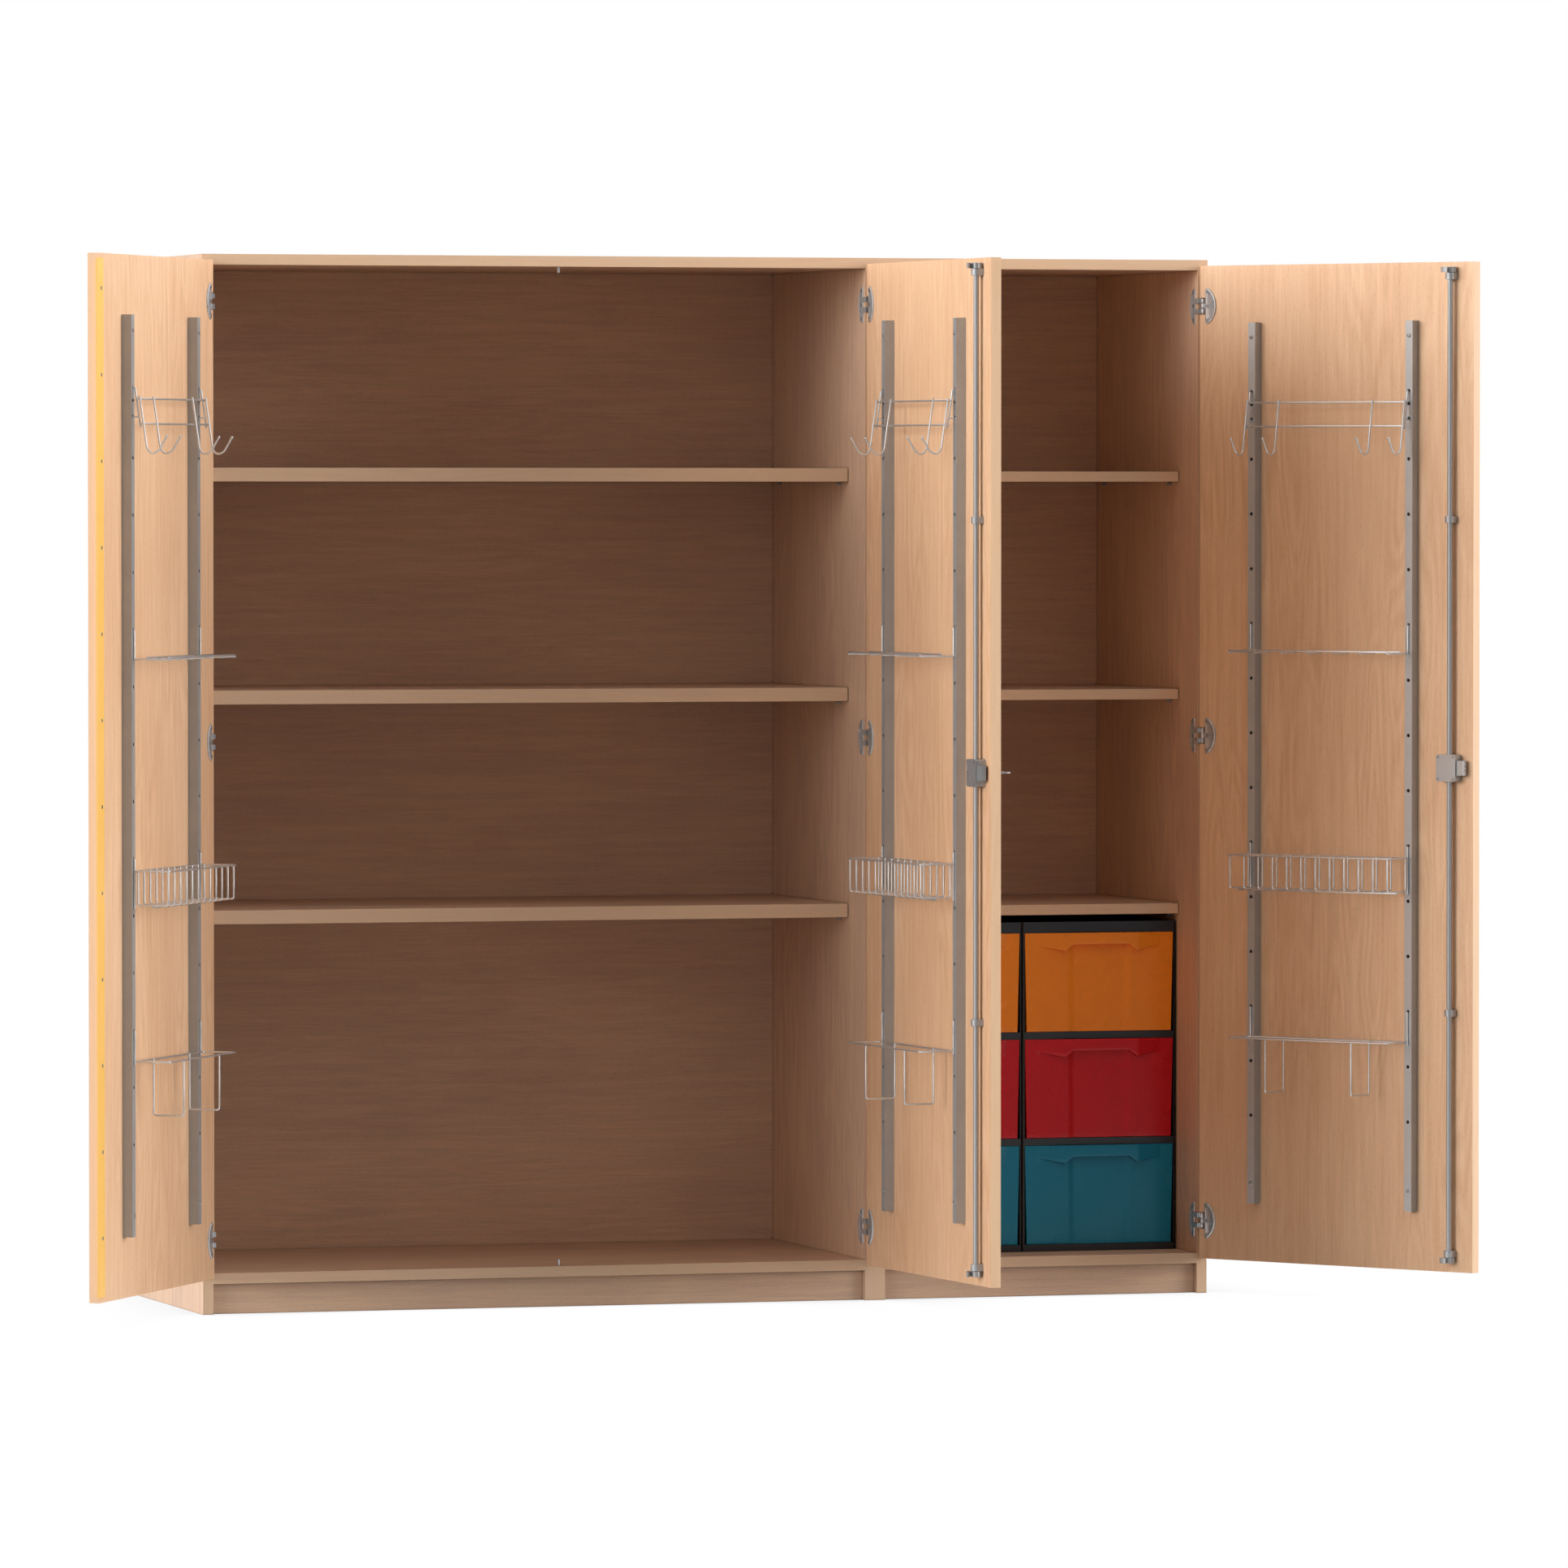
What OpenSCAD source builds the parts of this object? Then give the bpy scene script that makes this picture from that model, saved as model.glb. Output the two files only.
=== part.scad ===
// Lockable storage cabinet: three overlay doors on a beech carcass with a
// wide compartment (two doors) and a narrow one (one door, two drawer stacks).
// Millimetres. x runs along the width, y from front to rear, z up.
// Drawn as in the photo: all doors open, drawers shut, locks open.

/* [Carcass] */
// Width over the outer faces of both sides
body_w = 1900; // [1700:10:2100]
// Height from the floor to the top face
body_h = 1900; // [1850:10:2100]
// Depth of the carcass without doors
body_d = 600; // [560:10:700]
// Thickness of the carcass boards and doors
board_t = 19; // [18:0.5:22]
// Thickness of the wall between both compartments
middle_wall_t = 38; // [36:1:44]
// Height of the plinth
plinth_h = 55; // [45:1:80]
// Set-back of the plinth behind the carcass front
plinth_recess = 15; // [5:1:40]
// Thickness of the back panel
back_t = 8; // [6:0.5:10]
// Set-back of the back panel from the rear edges
back_inset = 9; // [5:1:14]
// Depth of the grooves that hold the back panel
back_groove = 8; // [5:0.5:9]
// Diameter of the wooden dowels
dowel_d = 8; // [6:1:10]

/* [Shelves] */
// Underside of the lowest shelves above the floor
low_shelf_z = 695.5; // [690:0.5:760]
// Underside of the middle shelves above the floor
mid_shelf_z = 1091.5; // [1000:0.5:1180]
// Underside of the upper shelves above the floor
top_shelf_z = 1493; // [1400:0.5:1600]
// Thickness of the wide shelves
wide_shelf_t = 25; // [19:1:30]
// Set-back of the shelves behind the carcass front
shelf_front = 103.5; // [98:0.5:150]
// Gap between a shelf and the boards beside and behind it
shelf_gap = 1; // [0.5:0.5:2]
// Diameter of the round rest of a shelf pin
shelf_rest_d = 7; // [6:0.5:9]

/* [Doors] */
// Opening angle of the left door in the drawing
left_door_angle = 122.6; // [0:0.1:124]
// Opening angle of the middle door in the drawing
middle_door_angle = 93.57; // [0.1:0.01:119]
// Opening angle of the right door in the drawing
right_door_angle = 123.7; // [0:0.1:124]
// Air between a shut door and the carcass front
door_gap = 0.4; // [0.3:0.1:1]
// Seam between the left and the middle door
door_seam = 3; // [2:0.5:4]
// Overlap of a hinge edge on the carcass
hinge_overlay = 9.5; // [9:0.5:10]
// Overlap of the right door's free edge on the middle wall
free_lap = 9; // [6:0.5:12]
// Distance of the doors' top edge below the top face
door_top_inset = 11; // [8:0.5:14]
// Distance of the doors' lower edge above the plinth
door_low_inset = 10; // [6:0.5:14]
// Width of the closing lip on the left door
lip_w = 32; // [30:1:36]
// Reach of the closing lip past the left door's free edge
lip_reach = 13; // [10:0.5:14]
// Thickness of the closing lip
lip_t = 3.5; // [3:0.5:4]

/* [Hinges] */
// Height of the upper hinges below the top face
top_hinge_drop = 85; // [75:1:95]
// Height of the middle hinges above the floor
mid_hinge_z = 1027; // [980:1:1060]
// Height of the lower hinges above the floor
low_hinge_z = 135; // [125:1:150]
// Pivot distance outward from the carcass wall's inner face
pivot_in = 8; // [7.5:0.1:8.3]
// Pivot distance in front of the carcass
pivot_out = 8; // [7.8:0.1:8.4]
// Length of the straight edge of a hinge plate
plate_l = 72; // [64:1:80]
// Width of a hinge plate from the straight edge to the round one
plate_w = 25; // [22:1:26]
// Thickness of the hinge plates
plate_t = 3; // [2:0.5:3]
// Outer diameter of the hinge knuckles
knuckle_d = 9; // [8:0.5:9]
// Diameter of the hinge pins
hinge_pin_d = 4; // [3:0.5:5]

/* [Rails and racks] */
// Distance of a rail from the middle line of its door
rail_offset = 178; // [160:1:190]
// Width of a rail
rail_w = 16; // [14:1:20]
// Depth of a rail in front of the door
rail_d = 18; // [16:0.5:20]
// Sheet thickness of a rail
rail_t = 1.5; // [1:0.25:2]
// Height of the highest hole of the row in the rails
hole_top_z = 1634; // [1600:1:1660]
// Spacing of the holes in the rails
hole_pitch = 100; // [96:1:100]
// Diameter of the holes in the rails
hole_d = 6.5; // [6:0.25:8]
// Diameter of the rack wire
wire_d = 3.4; // [3:0.1:4]
// Reach of the racks in front of the door
rack_reach = 85; // [78:1:87]

/* [Locks] */
// Distance of the lock rod from the hinge edge of the door
rod_u = 575; // [570:1:578]
// Distance of the lock rod's middle line from the door
rod_v = 11; // [11:0.5:12]
// Diameter of the lock rod
rod_d = 9.8; // [8:0.2:10]
// Height of the middle of the lock case above the floor
lock_z = 976.5; // [950:0.5:1000]
// Width of the lock case
case_w = 43; // [42:1:45]
// Height of the lock case
case_h = 49; // [46:1:60]
// Height of the bolt
bolt_h = 27; // [22:1:30]
// Diameter of the strike pins
strike_d = 5; // [4:0.5:5]
// Height of the upper rod guide above the floor
high_guide_z = 1424.5; // [1400:1:1460]
// Height of the lower rod guide above the floor
low_guide_z = 533.5; // [500:1:560]

/* [Drawers] */
// Width of a drawer housing
housing_w = 298; // [290:1:298]
// Depth of a drawer housing
housing_d = 415; // [400:5:440]
// Height of a drawer housing
housing_h = 196; // [188:1:197]
// Set-back of the housings behind the carcass front
housing_front = 115; // [110:1:125]
// Height of the dark band under each drawer front
band_h = 13; // [12:0.5:16]
// Height of the cover on each stack
cover_h = 20; // [8:1:20]
// Reach of the handle lip in front of the drawer front
grip_reach = 9; // [6:0.5:10]
// Wall thickness of a drawer
drawer_wall = 2.5; // [2:0.25:4]

/* [Hidden] */
$fn = 48;
// clearance of screws, dowels and pins in their holes, on the radius
fit_gap = 0.05;
free_h = body_h - board_t;
wide_w = (body_w - middle_wall_t - 2 * board_t + door_seam / 2 + free_lap) * 2 / 3;
narrow_w = wide_w / 2 - door_seam / 2 - free_lap;
middle_x = board_t + wide_w;
narrow_x = middle_x + middle_wall_t;
right_x = body_w - board_t;
floor_z = plinth_h + board_t;
back_y = body_d - back_inset - back_t;
door_w = (wide_w + 2 * hinge_overlay - door_seam) / 2;
door_z = plinth_h + door_low_inset;
door_h = body_h - door_top_inset - door_z;
pivot_u = hinge_overlay - pivot_in;
pivot_v = door_gap - pivot_out;
hinge_heights = [body_h - top_hinge_drop, mid_hinge_z, low_hinge_z];
shelf_heights = [low_shelf_z, mid_shelf_z, top_shelf_z];
// hinge details
plate_y = 12;
leaf_u = 12.5;
notch_u = 15.5;
notch_v = 13.2;
notch_half = 15.5;
strap_low = 5;
strap_high = 14;
leaf_half = 4.7;
plate_r = (plate_w * plate_w + plate_l * plate_l / 4) / (2 * plate_w);
plate_screw = 6.5;
plate_screw_z = plate_l / 2 - 10;
screw_d = 3.9;
head_d = 7.8;
// rails
rail_us = [door_w / 2 - rail_offset + 0.25, door_w / 2 + rail_offset + 0.25];
rail_low = door_z + 107;
rail_high = door_z + door_h - 105;
rail_screws = [rail_high - 27, rail_low + 37.5];
row_holes = 14;
hook_rack_z = hole_top_z + 23;
peg_z = hook_rack_z - 50;
tray_z = hole_top_z - 4 * hole_pitch;
basket_z = hole_top_z - 8 * hole_pitch;
holder_z = hole_top_z - 11 * hole_pitch;
wire_r = wire_d / 2;
// touching wires are welded: they sink 0.25 mm into each other
weld = wire_d - 0.25;
// the bends of the hook rack swell by 0.1 mm, which is the wires' play at the rail
bend_r = wire_r + 0.1;
behind_web = rail_d - rail_t - bend_r;
before_web = rail_d + bend_r;
hole_sit = hole_d / 2 - bend_r;
// locks
strike_u = rod_u + 11;
strike_v = rod_v + 2.5;
rod_r = rod_d / 2;
rod_low = floor_z + 8;
rod_high = free_h - 1;
hook_h = 10;
guide_h = 12;
guide_w = 18;
strike_high = 11;
strike_low = 12;
case_u = rod_u - 24;
case_v = 20;
bolt_tail = rod_u + rod_r + 1.1;
bolt_tip = case_u + case_w + 14;
// drawers
stack_x = [narrow_x + narrow_w / 2 - housing_w, narrow_x + narrow_w / 2];
stack_side = 4.5;
stack_back = 4;
run_gap = 0.4;
stack_top = floor_z + 3 * housing_h + cover_h;
lip_low = floor_z + 0.7;

beech = [0.89, 0.70, 0.53];
beech_shade = [0.70, 0.50, 0.36];
beech_dark = [0.42, 0.26, 0.17];
lip_yellow = [1.0, 0.76, 0.33];
steel = [0.62, 0.61, 0.60];
bright_steel = [0.78, 0.78, 0.79];
black_plastic = [0.06, 0.06, 0.07];
row_colours = [[0.09, 0.44, 0.49], [0.63, 0.09, 0.13], [0.88, 0.52, 0.16]];

// Places
// carcass coordinates: x from the left outer face, y from the carcass front
module in_carcass() {
    translate([-body_w / 2, -(plinth_recess + board_t / 2), 0]) children();
}

// door coordinates: x from the hinge edge, y inward from the inner face
module on_left_door() {
    in_carcass()
        translate([board_t - pivot_in, -pivot_out, 0])
            rotate([0, 0, -left_door_angle])
                translate([-pivot_u, -pivot_v, 0]) children();
}

module on_mirrored_door(x, angle) {
    in_carcass()
        translate([x + pivot_in, -pivot_out, 0])
            rotate([0, 0, angle])
                mirror([1, 0, 0])
                    translate([-pivot_u, -pivot_v, 0]) children();
}

module on_middle_door() {
    on_mirrored_door(middle_x, middle_door_angle) children();
}

module on_right_door() {
    on_mirrored_door(right_x, right_door_angle) children();
}

// turns a piece drawn along +z into the door's inward direction
module inward(u, v, z) {
    translate([u, v, z]) rotate([-90, 0, 0]) children();
}

// Small shared pieces
// countersunk screw, head flush with z = 0, pointing down
module flat_screw(l, extra = 0) {
    translate([0, 0, -2.2]) cylinder(r1 = screw_d / 2 + extra, r2 = head_d / 2 + extra, h = 2.2);
    translate([0, 0, -l - extra]) cylinder(r = screw_d / 2 + extra, h = l + extra - 2);
}

// pan-head screw, head on top of z = 0, pointing down
module pan_screw(l, extra = 0) {
    cylinder(r = head_d / 2 + extra, h = 2);
    translate([0, 0, -l - extra]) cylinder(r = screw_d / 2 + extra, h = l + extra + 1);
}

// half-moon plate, straight side on the y axis
module half_moon() {
    intersection() {
        translate([plate_w - plate_r, 0]) circle(r = plate_r, $fn = 96);
        translate([0, -plate_l / 2]) square([plate_w, plate_l]);
    }
}

// plain rectangle with four round corners
module round_rect(w, h, r) {
    translate([r, 0]) square([w - 2 * r, h]);
    translate([0, r]) square([w, h - 2 * r]);
    for (x = [r, w - r])
        for (y = [r, h - r])
            translate([x, y]) circle(r = r);
}

module wire(a, b, r = wire_r) {
    d = b - a;
    translate(a)
        rotate([0, acos(d[2] / norm(d)), atan2(d[1], d[0])])
            cylinder(r = r, h = norm(d), $fn = 24);
}

// wire bent at each point of the list
module bent_wire(pts, ball = wire_r) {
    for (i = [0:len(pts) - 2])
        wire(pts[i], pts[i + 1]);
    for (i = [1:len(pts) - 2])
        translate(pts[i]) sphere(r = ball, $fn = 24);
}

module closed_wire(pts) {
    for (i = [0:len(pts) - 1]) {
        wire(pts[i], pts[(i + 1) % len(pts)]);
        translate(pts[i]) sphere(r = wire_r, $fn = 24);
    }
}

// Carcass
dowel_ys = [60, body_d / 2, 540];
dowel_l = 30;
dowel_in = 12;

// all dowels; extra widens them for the holes
module all_dowels(extra = 0) {
    l = dowel_l + 2 * extra;
    r = dowel_d / 2 + extra;
    for (y = dowel_ys) {
        for (z = [free_h + board_t / 2, plinth_h + board_t / 2]) {
            translate([board_t - dowel_in - extra, y, z]) rotate([0, 90, 0]) cylinder(r = r, h = l);
            translate([right_x + dowel_in + extra, y, z]) rotate([0, -90, 0]) cylinder(r = r, h = l);
        }
        translate([middle_x + dowel_in + extra, y, plinth_h + board_t / 2])
            rotate([0, -90, 0]) cylinder(r = r, h = l);
        translate([narrow_x - dowel_in - extra, y, plinth_h + board_t / 2])
            rotate([0, 90, 0]) cylinder(r = r, h = l);
        translate([middle_x + middle_wall_t / 2, y, free_h + dowel_in + extra])
            rotate([180, 0, 0]) cylinder(r = r, h = l);
    }
    y = plinth_recess + board_t / 2;
    z = plinth_h / 2;
    translate([board_t - dowel_in - extra, y, z]) rotate([0, 90, 0]) cylinder(r = r, h = l);
    translate([right_x + dowel_in + extra, y, z]) rotate([0, -90, 0]) cylinder(r = r, h = l);
    translate([middle_x + dowel_in + extra, y, z]) rotate([0, -90, 0]) cylinder(r = r, h = l);
    translate([narrow_x - dowel_in - extra, y, z]) rotate([0, 90, 0]) cylinder(r = r, h = l);
}

// places a piece drawn for the left wall on all three hinged walls
module at_walls() {
    translate([board_t, 0, 0]) children();
    translate([middle_x, 0, 0]) mirror([1, 0, 0]) children();
    translate([right_x, 0, 0]) mirror([1, 0, 0]) children();
}

module plate_screws(extra = 0) {
    for (z = hinge_heights)
        for (k = [-1, 0, 1])
            translate([plate_t, plate_y + plate_screw, z + k * plate_screw_z])
                rotate([0, 90, 0]) flat_screw(16, extra);
}

module back_screws(extra = 0) {
    for (z = [200, 600, 1000, 1400, 1800])
        translate([middle_x + middle_wall_t / 2, back_y + back_t, z])
            rotate([-90, 0, 0]) flat_screw(30, extra);
    for (x = [board_t + 60, board_t + wide_w / 2, middle_x - 60, narrow_x + 60, right_x - 60])
        translate([x, back_y + back_t, plinth_h + board_t / 2])
            rotate([-90, 0, 0]) flat_screw(30, extra);
}

module pin_places() {
    for (z = shelf_heights)
        for (y = [shelf_front + 50, back_y - 50])
            translate([0, y, z - shelf_rest_d / 2]) {
                translate([board_t, 0, 0]) rotate([0, 90, 0]) children();
                translate([middle_x, 0, 0]) rotate([0, -90, 0]) children();
                translate([narrow_x, 0, 0]) rotate([0, 90, 0]) children();
                translate([right_x, 0, 0]) rotate([0, -90, 0]) children();
            }
}

module pin_holes() {
    pin_places() translate([0, 0, -9.1]) cylinder(r = 2.5 + fit_gap, h = 10);
}

module strikes(extra = 0) {
    for (x = [middle_x + hinge_overlay - strike_u, right_x + hinge_overlay - strike_u])
        translate([x, strike_v - door_gap, 0]) {
            translate([0, 0, free_h - strike_high]) cylinder(r = strike_d / 2 + extra, h = strike_high + 8 + extra);
            translate([0, 0, floor_z - 8 - extra]) cylinder(r = strike_d / 2 + extra, h = strike_low + 8 + extra);
        }
}

module back_board(extra = 0) {
    translate([board_t - back_groove - extra, back_y - extra, plinth_h])
        cube([wide_w + middle_wall_t + narrow_w + 2 * (back_groove + extra), back_t + 2 * extra,
            free_h - plinth_h + back_groove + extra]);
}

module left_side() {
    in_carcass() color(beech) difference() {
        cube([board_t, body_d, body_h]);
        all_dowels(fit_gap);
        at_walls() plate_screws(fit_gap);
        pin_holes();
        back_board(0.1);
    }
}

module right_side() {
    in_carcass() color(beech) difference() {
        translate([right_x, 0, 0]) cube([board_t, body_d, body_h]);
        all_dowels(fit_gap);
        at_walls() plate_screws(fit_gap);
        pin_holes();
        back_board(0.1);
    }
}

// the bolt of the right door shoots into this wall
module middle_wall() {
    in_carcass() color(beech) difference() {
        translate([middle_x, 0, 0]) cube([middle_wall_t, back_y, free_h]);
        all_dowels(fit_gap);
        at_walls() plate_screws(fit_gap);
        back_screws(fit_gap);
        pin_holes();
        translate([narrow_x - 12, 2.6, lock_z - bolt_h / 2 - 2]) cube([13, 16, bolt_h + 4]);
    }
}

module top_panel() {
    in_carcass() color(beech) difference() {
        translate([board_t, 0, free_h]) cube([right_x - board_t, body_d, board_t]);
        all_dowels(fit_gap);
        strikes(fit_gap);
        back_board(0.1);
    }
}

module wide_bottom() {
    in_carcass() color(beech) difference() {
        translate([board_t, 0, plinth_h]) cube([wide_w, back_y, board_t]);
        all_dowels(fit_gap);
        back_screws(fit_gap);
        strikes(fit_gap);
    }
}

module narrow_bottom() {
    in_carcass() color(beech) difference() {
        translate([narrow_x, 0, plinth_h]) cube([narrow_w, back_y, board_t]);
        all_dowels(fit_gap);
        back_screws(fit_gap);
        strikes(fit_gap);
    }
}

module back_panel() {
    in_carcass() color(beech_dark) difference() {
        back_board();
        back_screws(fit_gap);
    }
}

module wide_plinth() {
    in_carcass() color(beech) difference() {
        translate([board_t, plinth_recess, 0]) cube([wide_w, board_t, plinth_h]);
        all_dowels(fit_gap);
    }
}

module narrow_plinth() {
    in_carcass() color(beech) difference() {
        translate([narrow_x, plinth_recess, 0]) cube([narrow_w, board_t, plinth_h]);
        all_dowels(fit_gap);
    }
}

module wide_shelves() {
    in_carcass() color(beech_shade)
        for (z = shelf_heights)
            translate([board_t + shelf_gap, shelf_front, z])
                cube([wide_w - 2 * shelf_gap, back_y - shelf_gap - shelf_front, wide_shelf_t]);
}

module narrow_shelves() {
    in_carcass() color(beech_shade)
        for (z = shelf_heights)
            translate([narrow_x + shelf_gap, shelf_front, z])
                cube([narrow_w - 2 * shelf_gap, back_y - shelf_gap - shelf_front, board_t]);
}

module shelf_pins() {
    in_carcass() color(bright_steel)
        pin_places() {
            translate([0, 0, -9]) cylinder(r = 2.5, h = 9.5);
            cylinder(r = shelf_rest_d / 2, h = 7);
        }
}

module dowels() {
    in_carcass() color(beech) all_dowels();
}

module carcass_hinge() {
    r = knuckle_d / 2;
    difference() {
        union() {
            translate([0, plate_y, 0]) rotate([90, 0, 90]) linear_extrude(height = plate_t) half_moon();
            for (z = [strap_low, -strap_high]) {
                h = strap_high - strap_low;
                translate([0, -pivot_out - 2, z]) cube([2.5, plate_y + pivot_out + 3, h]);
                translate([-pivot_in, -pivot_out - 2, z]) cube([pivot_in + 1, 2.5, h]);
                translate([-pivot_in, -pivot_out, z]) cylinder(r = r, h = h);
            }
        }
        translate([-pivot_in, -pivot_out, -20]) cylinder(r = hinge_pin_d / 2 + fit_gap, h = 40);
    }
}

module hinge_plates() {
    in_carcass() color(steel) difference() {
        at_walls() for (z = hinge_heights) translate([0, 0, z]) carcass_hinge();
        at_walls() plate_screws(fit_gap);
    }
}

module hinge_pins() {
    in_carcass() color(bright_steel)
        at_walls()
            for (z = hinge_heights)
                translate([-pivot_in, -pivot_out, z]) {
                    translate([0, 0, -strap_high]) cylinder(r = hinge_pin_d / 2, h = 2 * strap_high);
                    translate([0, 0, strap_high]) cylinder(r = hinge_pin_d / 2 + 1.2, h = 1);
                    translate([0, 0, -strap_high - 1]) cylinder(r = hinge_pin_d / 2 + 1.2, h = 1);
                }
}

module carcass_screws() {
    in_carcass() color(steel) {
        at_walls() plate_screws();
        back_screws();
    }
}

module strike_pins() {
    in_carcass() color(bright_steel) strikes();
}

// Doors
module leaf_screws(extra = 0) {
    for (z = hinge_heights)
        for (k = [-1, 0, 1])
            inward(leaf_u + plate_screw, plate_t, z + k * plate_screw_z) flat_screw(16, extra);
}

module rail_screws_at(extra = 0) {
    for (u = rail_us)
        for (z = rail_screws)
            inward(u, rail_d, z) pan_screw(rail_d + 13, extra);
}

module lip_screws(extra = 0) {
    u = door_w + lip_reach - lip_w + 10.7;
    for (k = [0:11])
        inward(u, lip_t, door_z + door_h - 61.4 - k * (door_h - 174) / 11) flat_screw(15, extra);
}

module lock_screws(extra = 0) {
    for (u = [case_u + 5, case_u + case_w - 5])
        for (z = [lock_z - case_h / 2 + 4.5, lock_z + case_h / 2 - 4.5])
            inward(u, case_v, z) flat_screw(case_v + 13, extra);
}

guide_zs = [rod_low + hook_h + 0.5, low_guide_z - guide_h / 2, high_guide_z - guide_h / 2,
    rod_high - hook_h - 0.5 - guide_h];

module door_board(lip, lock) {
    color(beech) difference() {
        translate([0, -board_t, door_z]) cube([door_w, board_t, door_h]);
        for (z = hinge_heights)
            translate([-1, -notch_v, z - notch_half]) cube([notch_u + 1, notch_v + 1, 2 * notch_half]);
        leaf_screws(fit_gap);
        rail_screws_at(fit_gap);
        if (lip)
            lip_screws(fit_gap);
        if (lock) {
            lock_screws(fit_gap);
            inward(rod_u, -board_t - 1, lock_z) cylinder(r = 9 + fit_gap, h = board_t + 2);
            for (z = guide_zs)
                inward(rod_u, -10 - fit_gap, z + guide_h / 2) cylinder(r = 4 + fit_gap, h = 12);
        }
    }
}

module hinge_leaf() {
    difference() {
        union() {
            translate([leaf_u, plate_t, 0]) rotate([90, 0, 0]) linear_extrude(height = plate_t) half_moon();
            translate([0, 0, -leaf_half]) linear_extrude(height = 2 * leaf_half)
                polygon([[pivot_u - 0.7, pivot_v + 1.2], [leaf_u + 1.3, 1], [leaf_u + 1.3, 2],
                    [notch_u - 0.1, 2], [notch_u - 0.1, -1.2], [pivot_u + 0.7, pivot_v - 1.2]]);
            translate([pivot_u, pivot_v, -leaf_half]) cylinder(r = knuckle_d / 2, h = 2 * leaf_half);
        }
        translate([pivot_u, pivot_v, -20]) cylinder(r = hinge_pin_d / 2 + fit_gap, h = 40);
    }
}

module hinge_leaves() {
    color(steel) difference() {
        for (z = hinge_heights)
            translate([0, 0, z]) hinge_leaf();
        leaf_screws(fit_gap);
    }
}

// two channels with their holes to the front
module rails() {
    color(steel)
        for (u = rail_us)
            difference() {
                translate([u - rail_w / 2, 0, rail_low]) cube([rail_w, rail_d, rail_high - rail_low]);
                translate([u - rail_w / 2 + rail_t, -1, rail_low - 1])
                    cube([rail_w - 2 * rail_t, rail_d - rail_t + 1, rail_high - rail_low + 2]);
                for (k = [0:row_holes - 1])
                    inward(u, 0, hole_top_z - k * hole_pitch) cylinder(r = hole_d / 2, h = rail_d + 1);
                for (z = [hook_rack_z, peg_z])
                    inward(u, 0, z) cylinder(r = hole_d / 2, h = rail_d + 1);
                rail_screws_at(fit_gap);
            }
}

module door_screws(lip, lock) {
    color(steel) {
        leaf_screws();
        rail_screws_at();
        if (lip)
            lip_screws();
        if (lock)
            lock_screws();
    }
}

// coat hooks on two cross rods, hung on sloping end wires
function slope_v(z) = before_web + 2.2 + (hook_rack_z - z) / 7;
module hook_rack() {
    z0 = hook_rack_z - hole_sit;
    z1 = hook_rack_z - 70;
    upper = hook_rack_z - 20;
    lower = hook_rack_z - 63.5;
    color(bright_steel) {
        for (u = rail_us) {
            bent_wire([[u, behind_web, z0 - 12], [u, behind_web, z0], [u, slope_v(z0), z0], [u, slope_v(z1), z1]],
                bend_r);
            wire([u, 10, peg_z - hole_sit], [u, slope_v(peg_z - hole_sit), peg_z - hole_sit]);
        }
        for (z = [upper, lower])
            wire([rail_us[0] - 2, slope_v(z) + weld, z], [rail_us[1] + 2, slope_v(z) + weld, z]);
        for (u = [rail_us[0], rail_us[0] + 72, rail_us[1] - 72, rail_us[1]]) {
            v = 2 * weld;
            bent_wire([[u, slope_v(upper + 5) + v, upper + 5], [u, slope_v(z1 - 35) + v, z1 - 35],
                [u, slope_v(z1 - 35) + v + 4.4, z1 - 43.5], [u, slope_v(z1 - 35) + v + 12.4, z1 - 46],
                [u, slope_v(z1 - 35) + v + 22, z1 - 41], [u, rack_reach - 5, z1 - 16]], bend_r);
            translate([u, rack_reach - 5, z1 - 16]) sphere(r = wire_r + 0.7, $fn = 24);
        }
    }
}

// end wire of a rack: behind the rail, through its hole and down in front
module rack_end(u, z, low) {
    bent_wire([[u, behind_web, z - hole_sit - 12], [u, behind_web, z - hole_sit],
        [u, before_web, z - hole_sit], [u, before_web, low]]);
}

module tray() {
    z = tray_z - 52;
    step = (rail_us[1] - rail_us[0]) / 6;
    color(bright_steel) {
        for (u = rail_us) {
            rack_end(u, tray_z, z);
            translate([u, before_web, z]) sphere(r = wire_r, $fn = 24);
            wire([u, before_web, z], [u, rack_reach + wire_r, z]);
        }
        for (k = [1:5])
            wire([rail_us[0] + k * step, 40, z], [rail_us[0] + k * step, rack_reach + wire_r, z]);
        for (v = [44, rack_reach - 1])
            wire([rail_us[0] - wire_r, v, z + weld], [rail_us[1] + wire_r, v, z + weld]);
    }
}

module basket() {
    rim = basket_z - 22;
    low = basket_z - 82;
    back = before_web + weld;
    step = (rail_us[1] - rail_us[0]) / 11;
    color(bright_steel) {
        for (u = rail_us) {
            rack_end(u, basket_z, low - 6);
            translate([u, before_web, low - 6]) sphere(r = wire_r, $fn = 24);
        }
        closed_wire([[rail_us[0] - weld, back, rim], [rail_us[1] + weld, back, rim],
            [rail_us[1] + weld, rack_reach, rim], [rail_us[0] - weld, rack_reach, rim]]);
        for (k = [0:11]) {
            u = rail_us[0] + k * step;
            bent_wire([[u, back + weld, rim + wire_r], [u, back + weld, low],
                [u, rack_reach - weld, low], [u, rack_reach - weld, rim + wire_r]]);
        }
        wire([rail_us[0] - wire_r, (back + rack_reach) / 2, low - weld],
            [rail_us[1] + wire_r, (back + rack_reach) / 2, low - weld]);
    }
}

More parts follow.
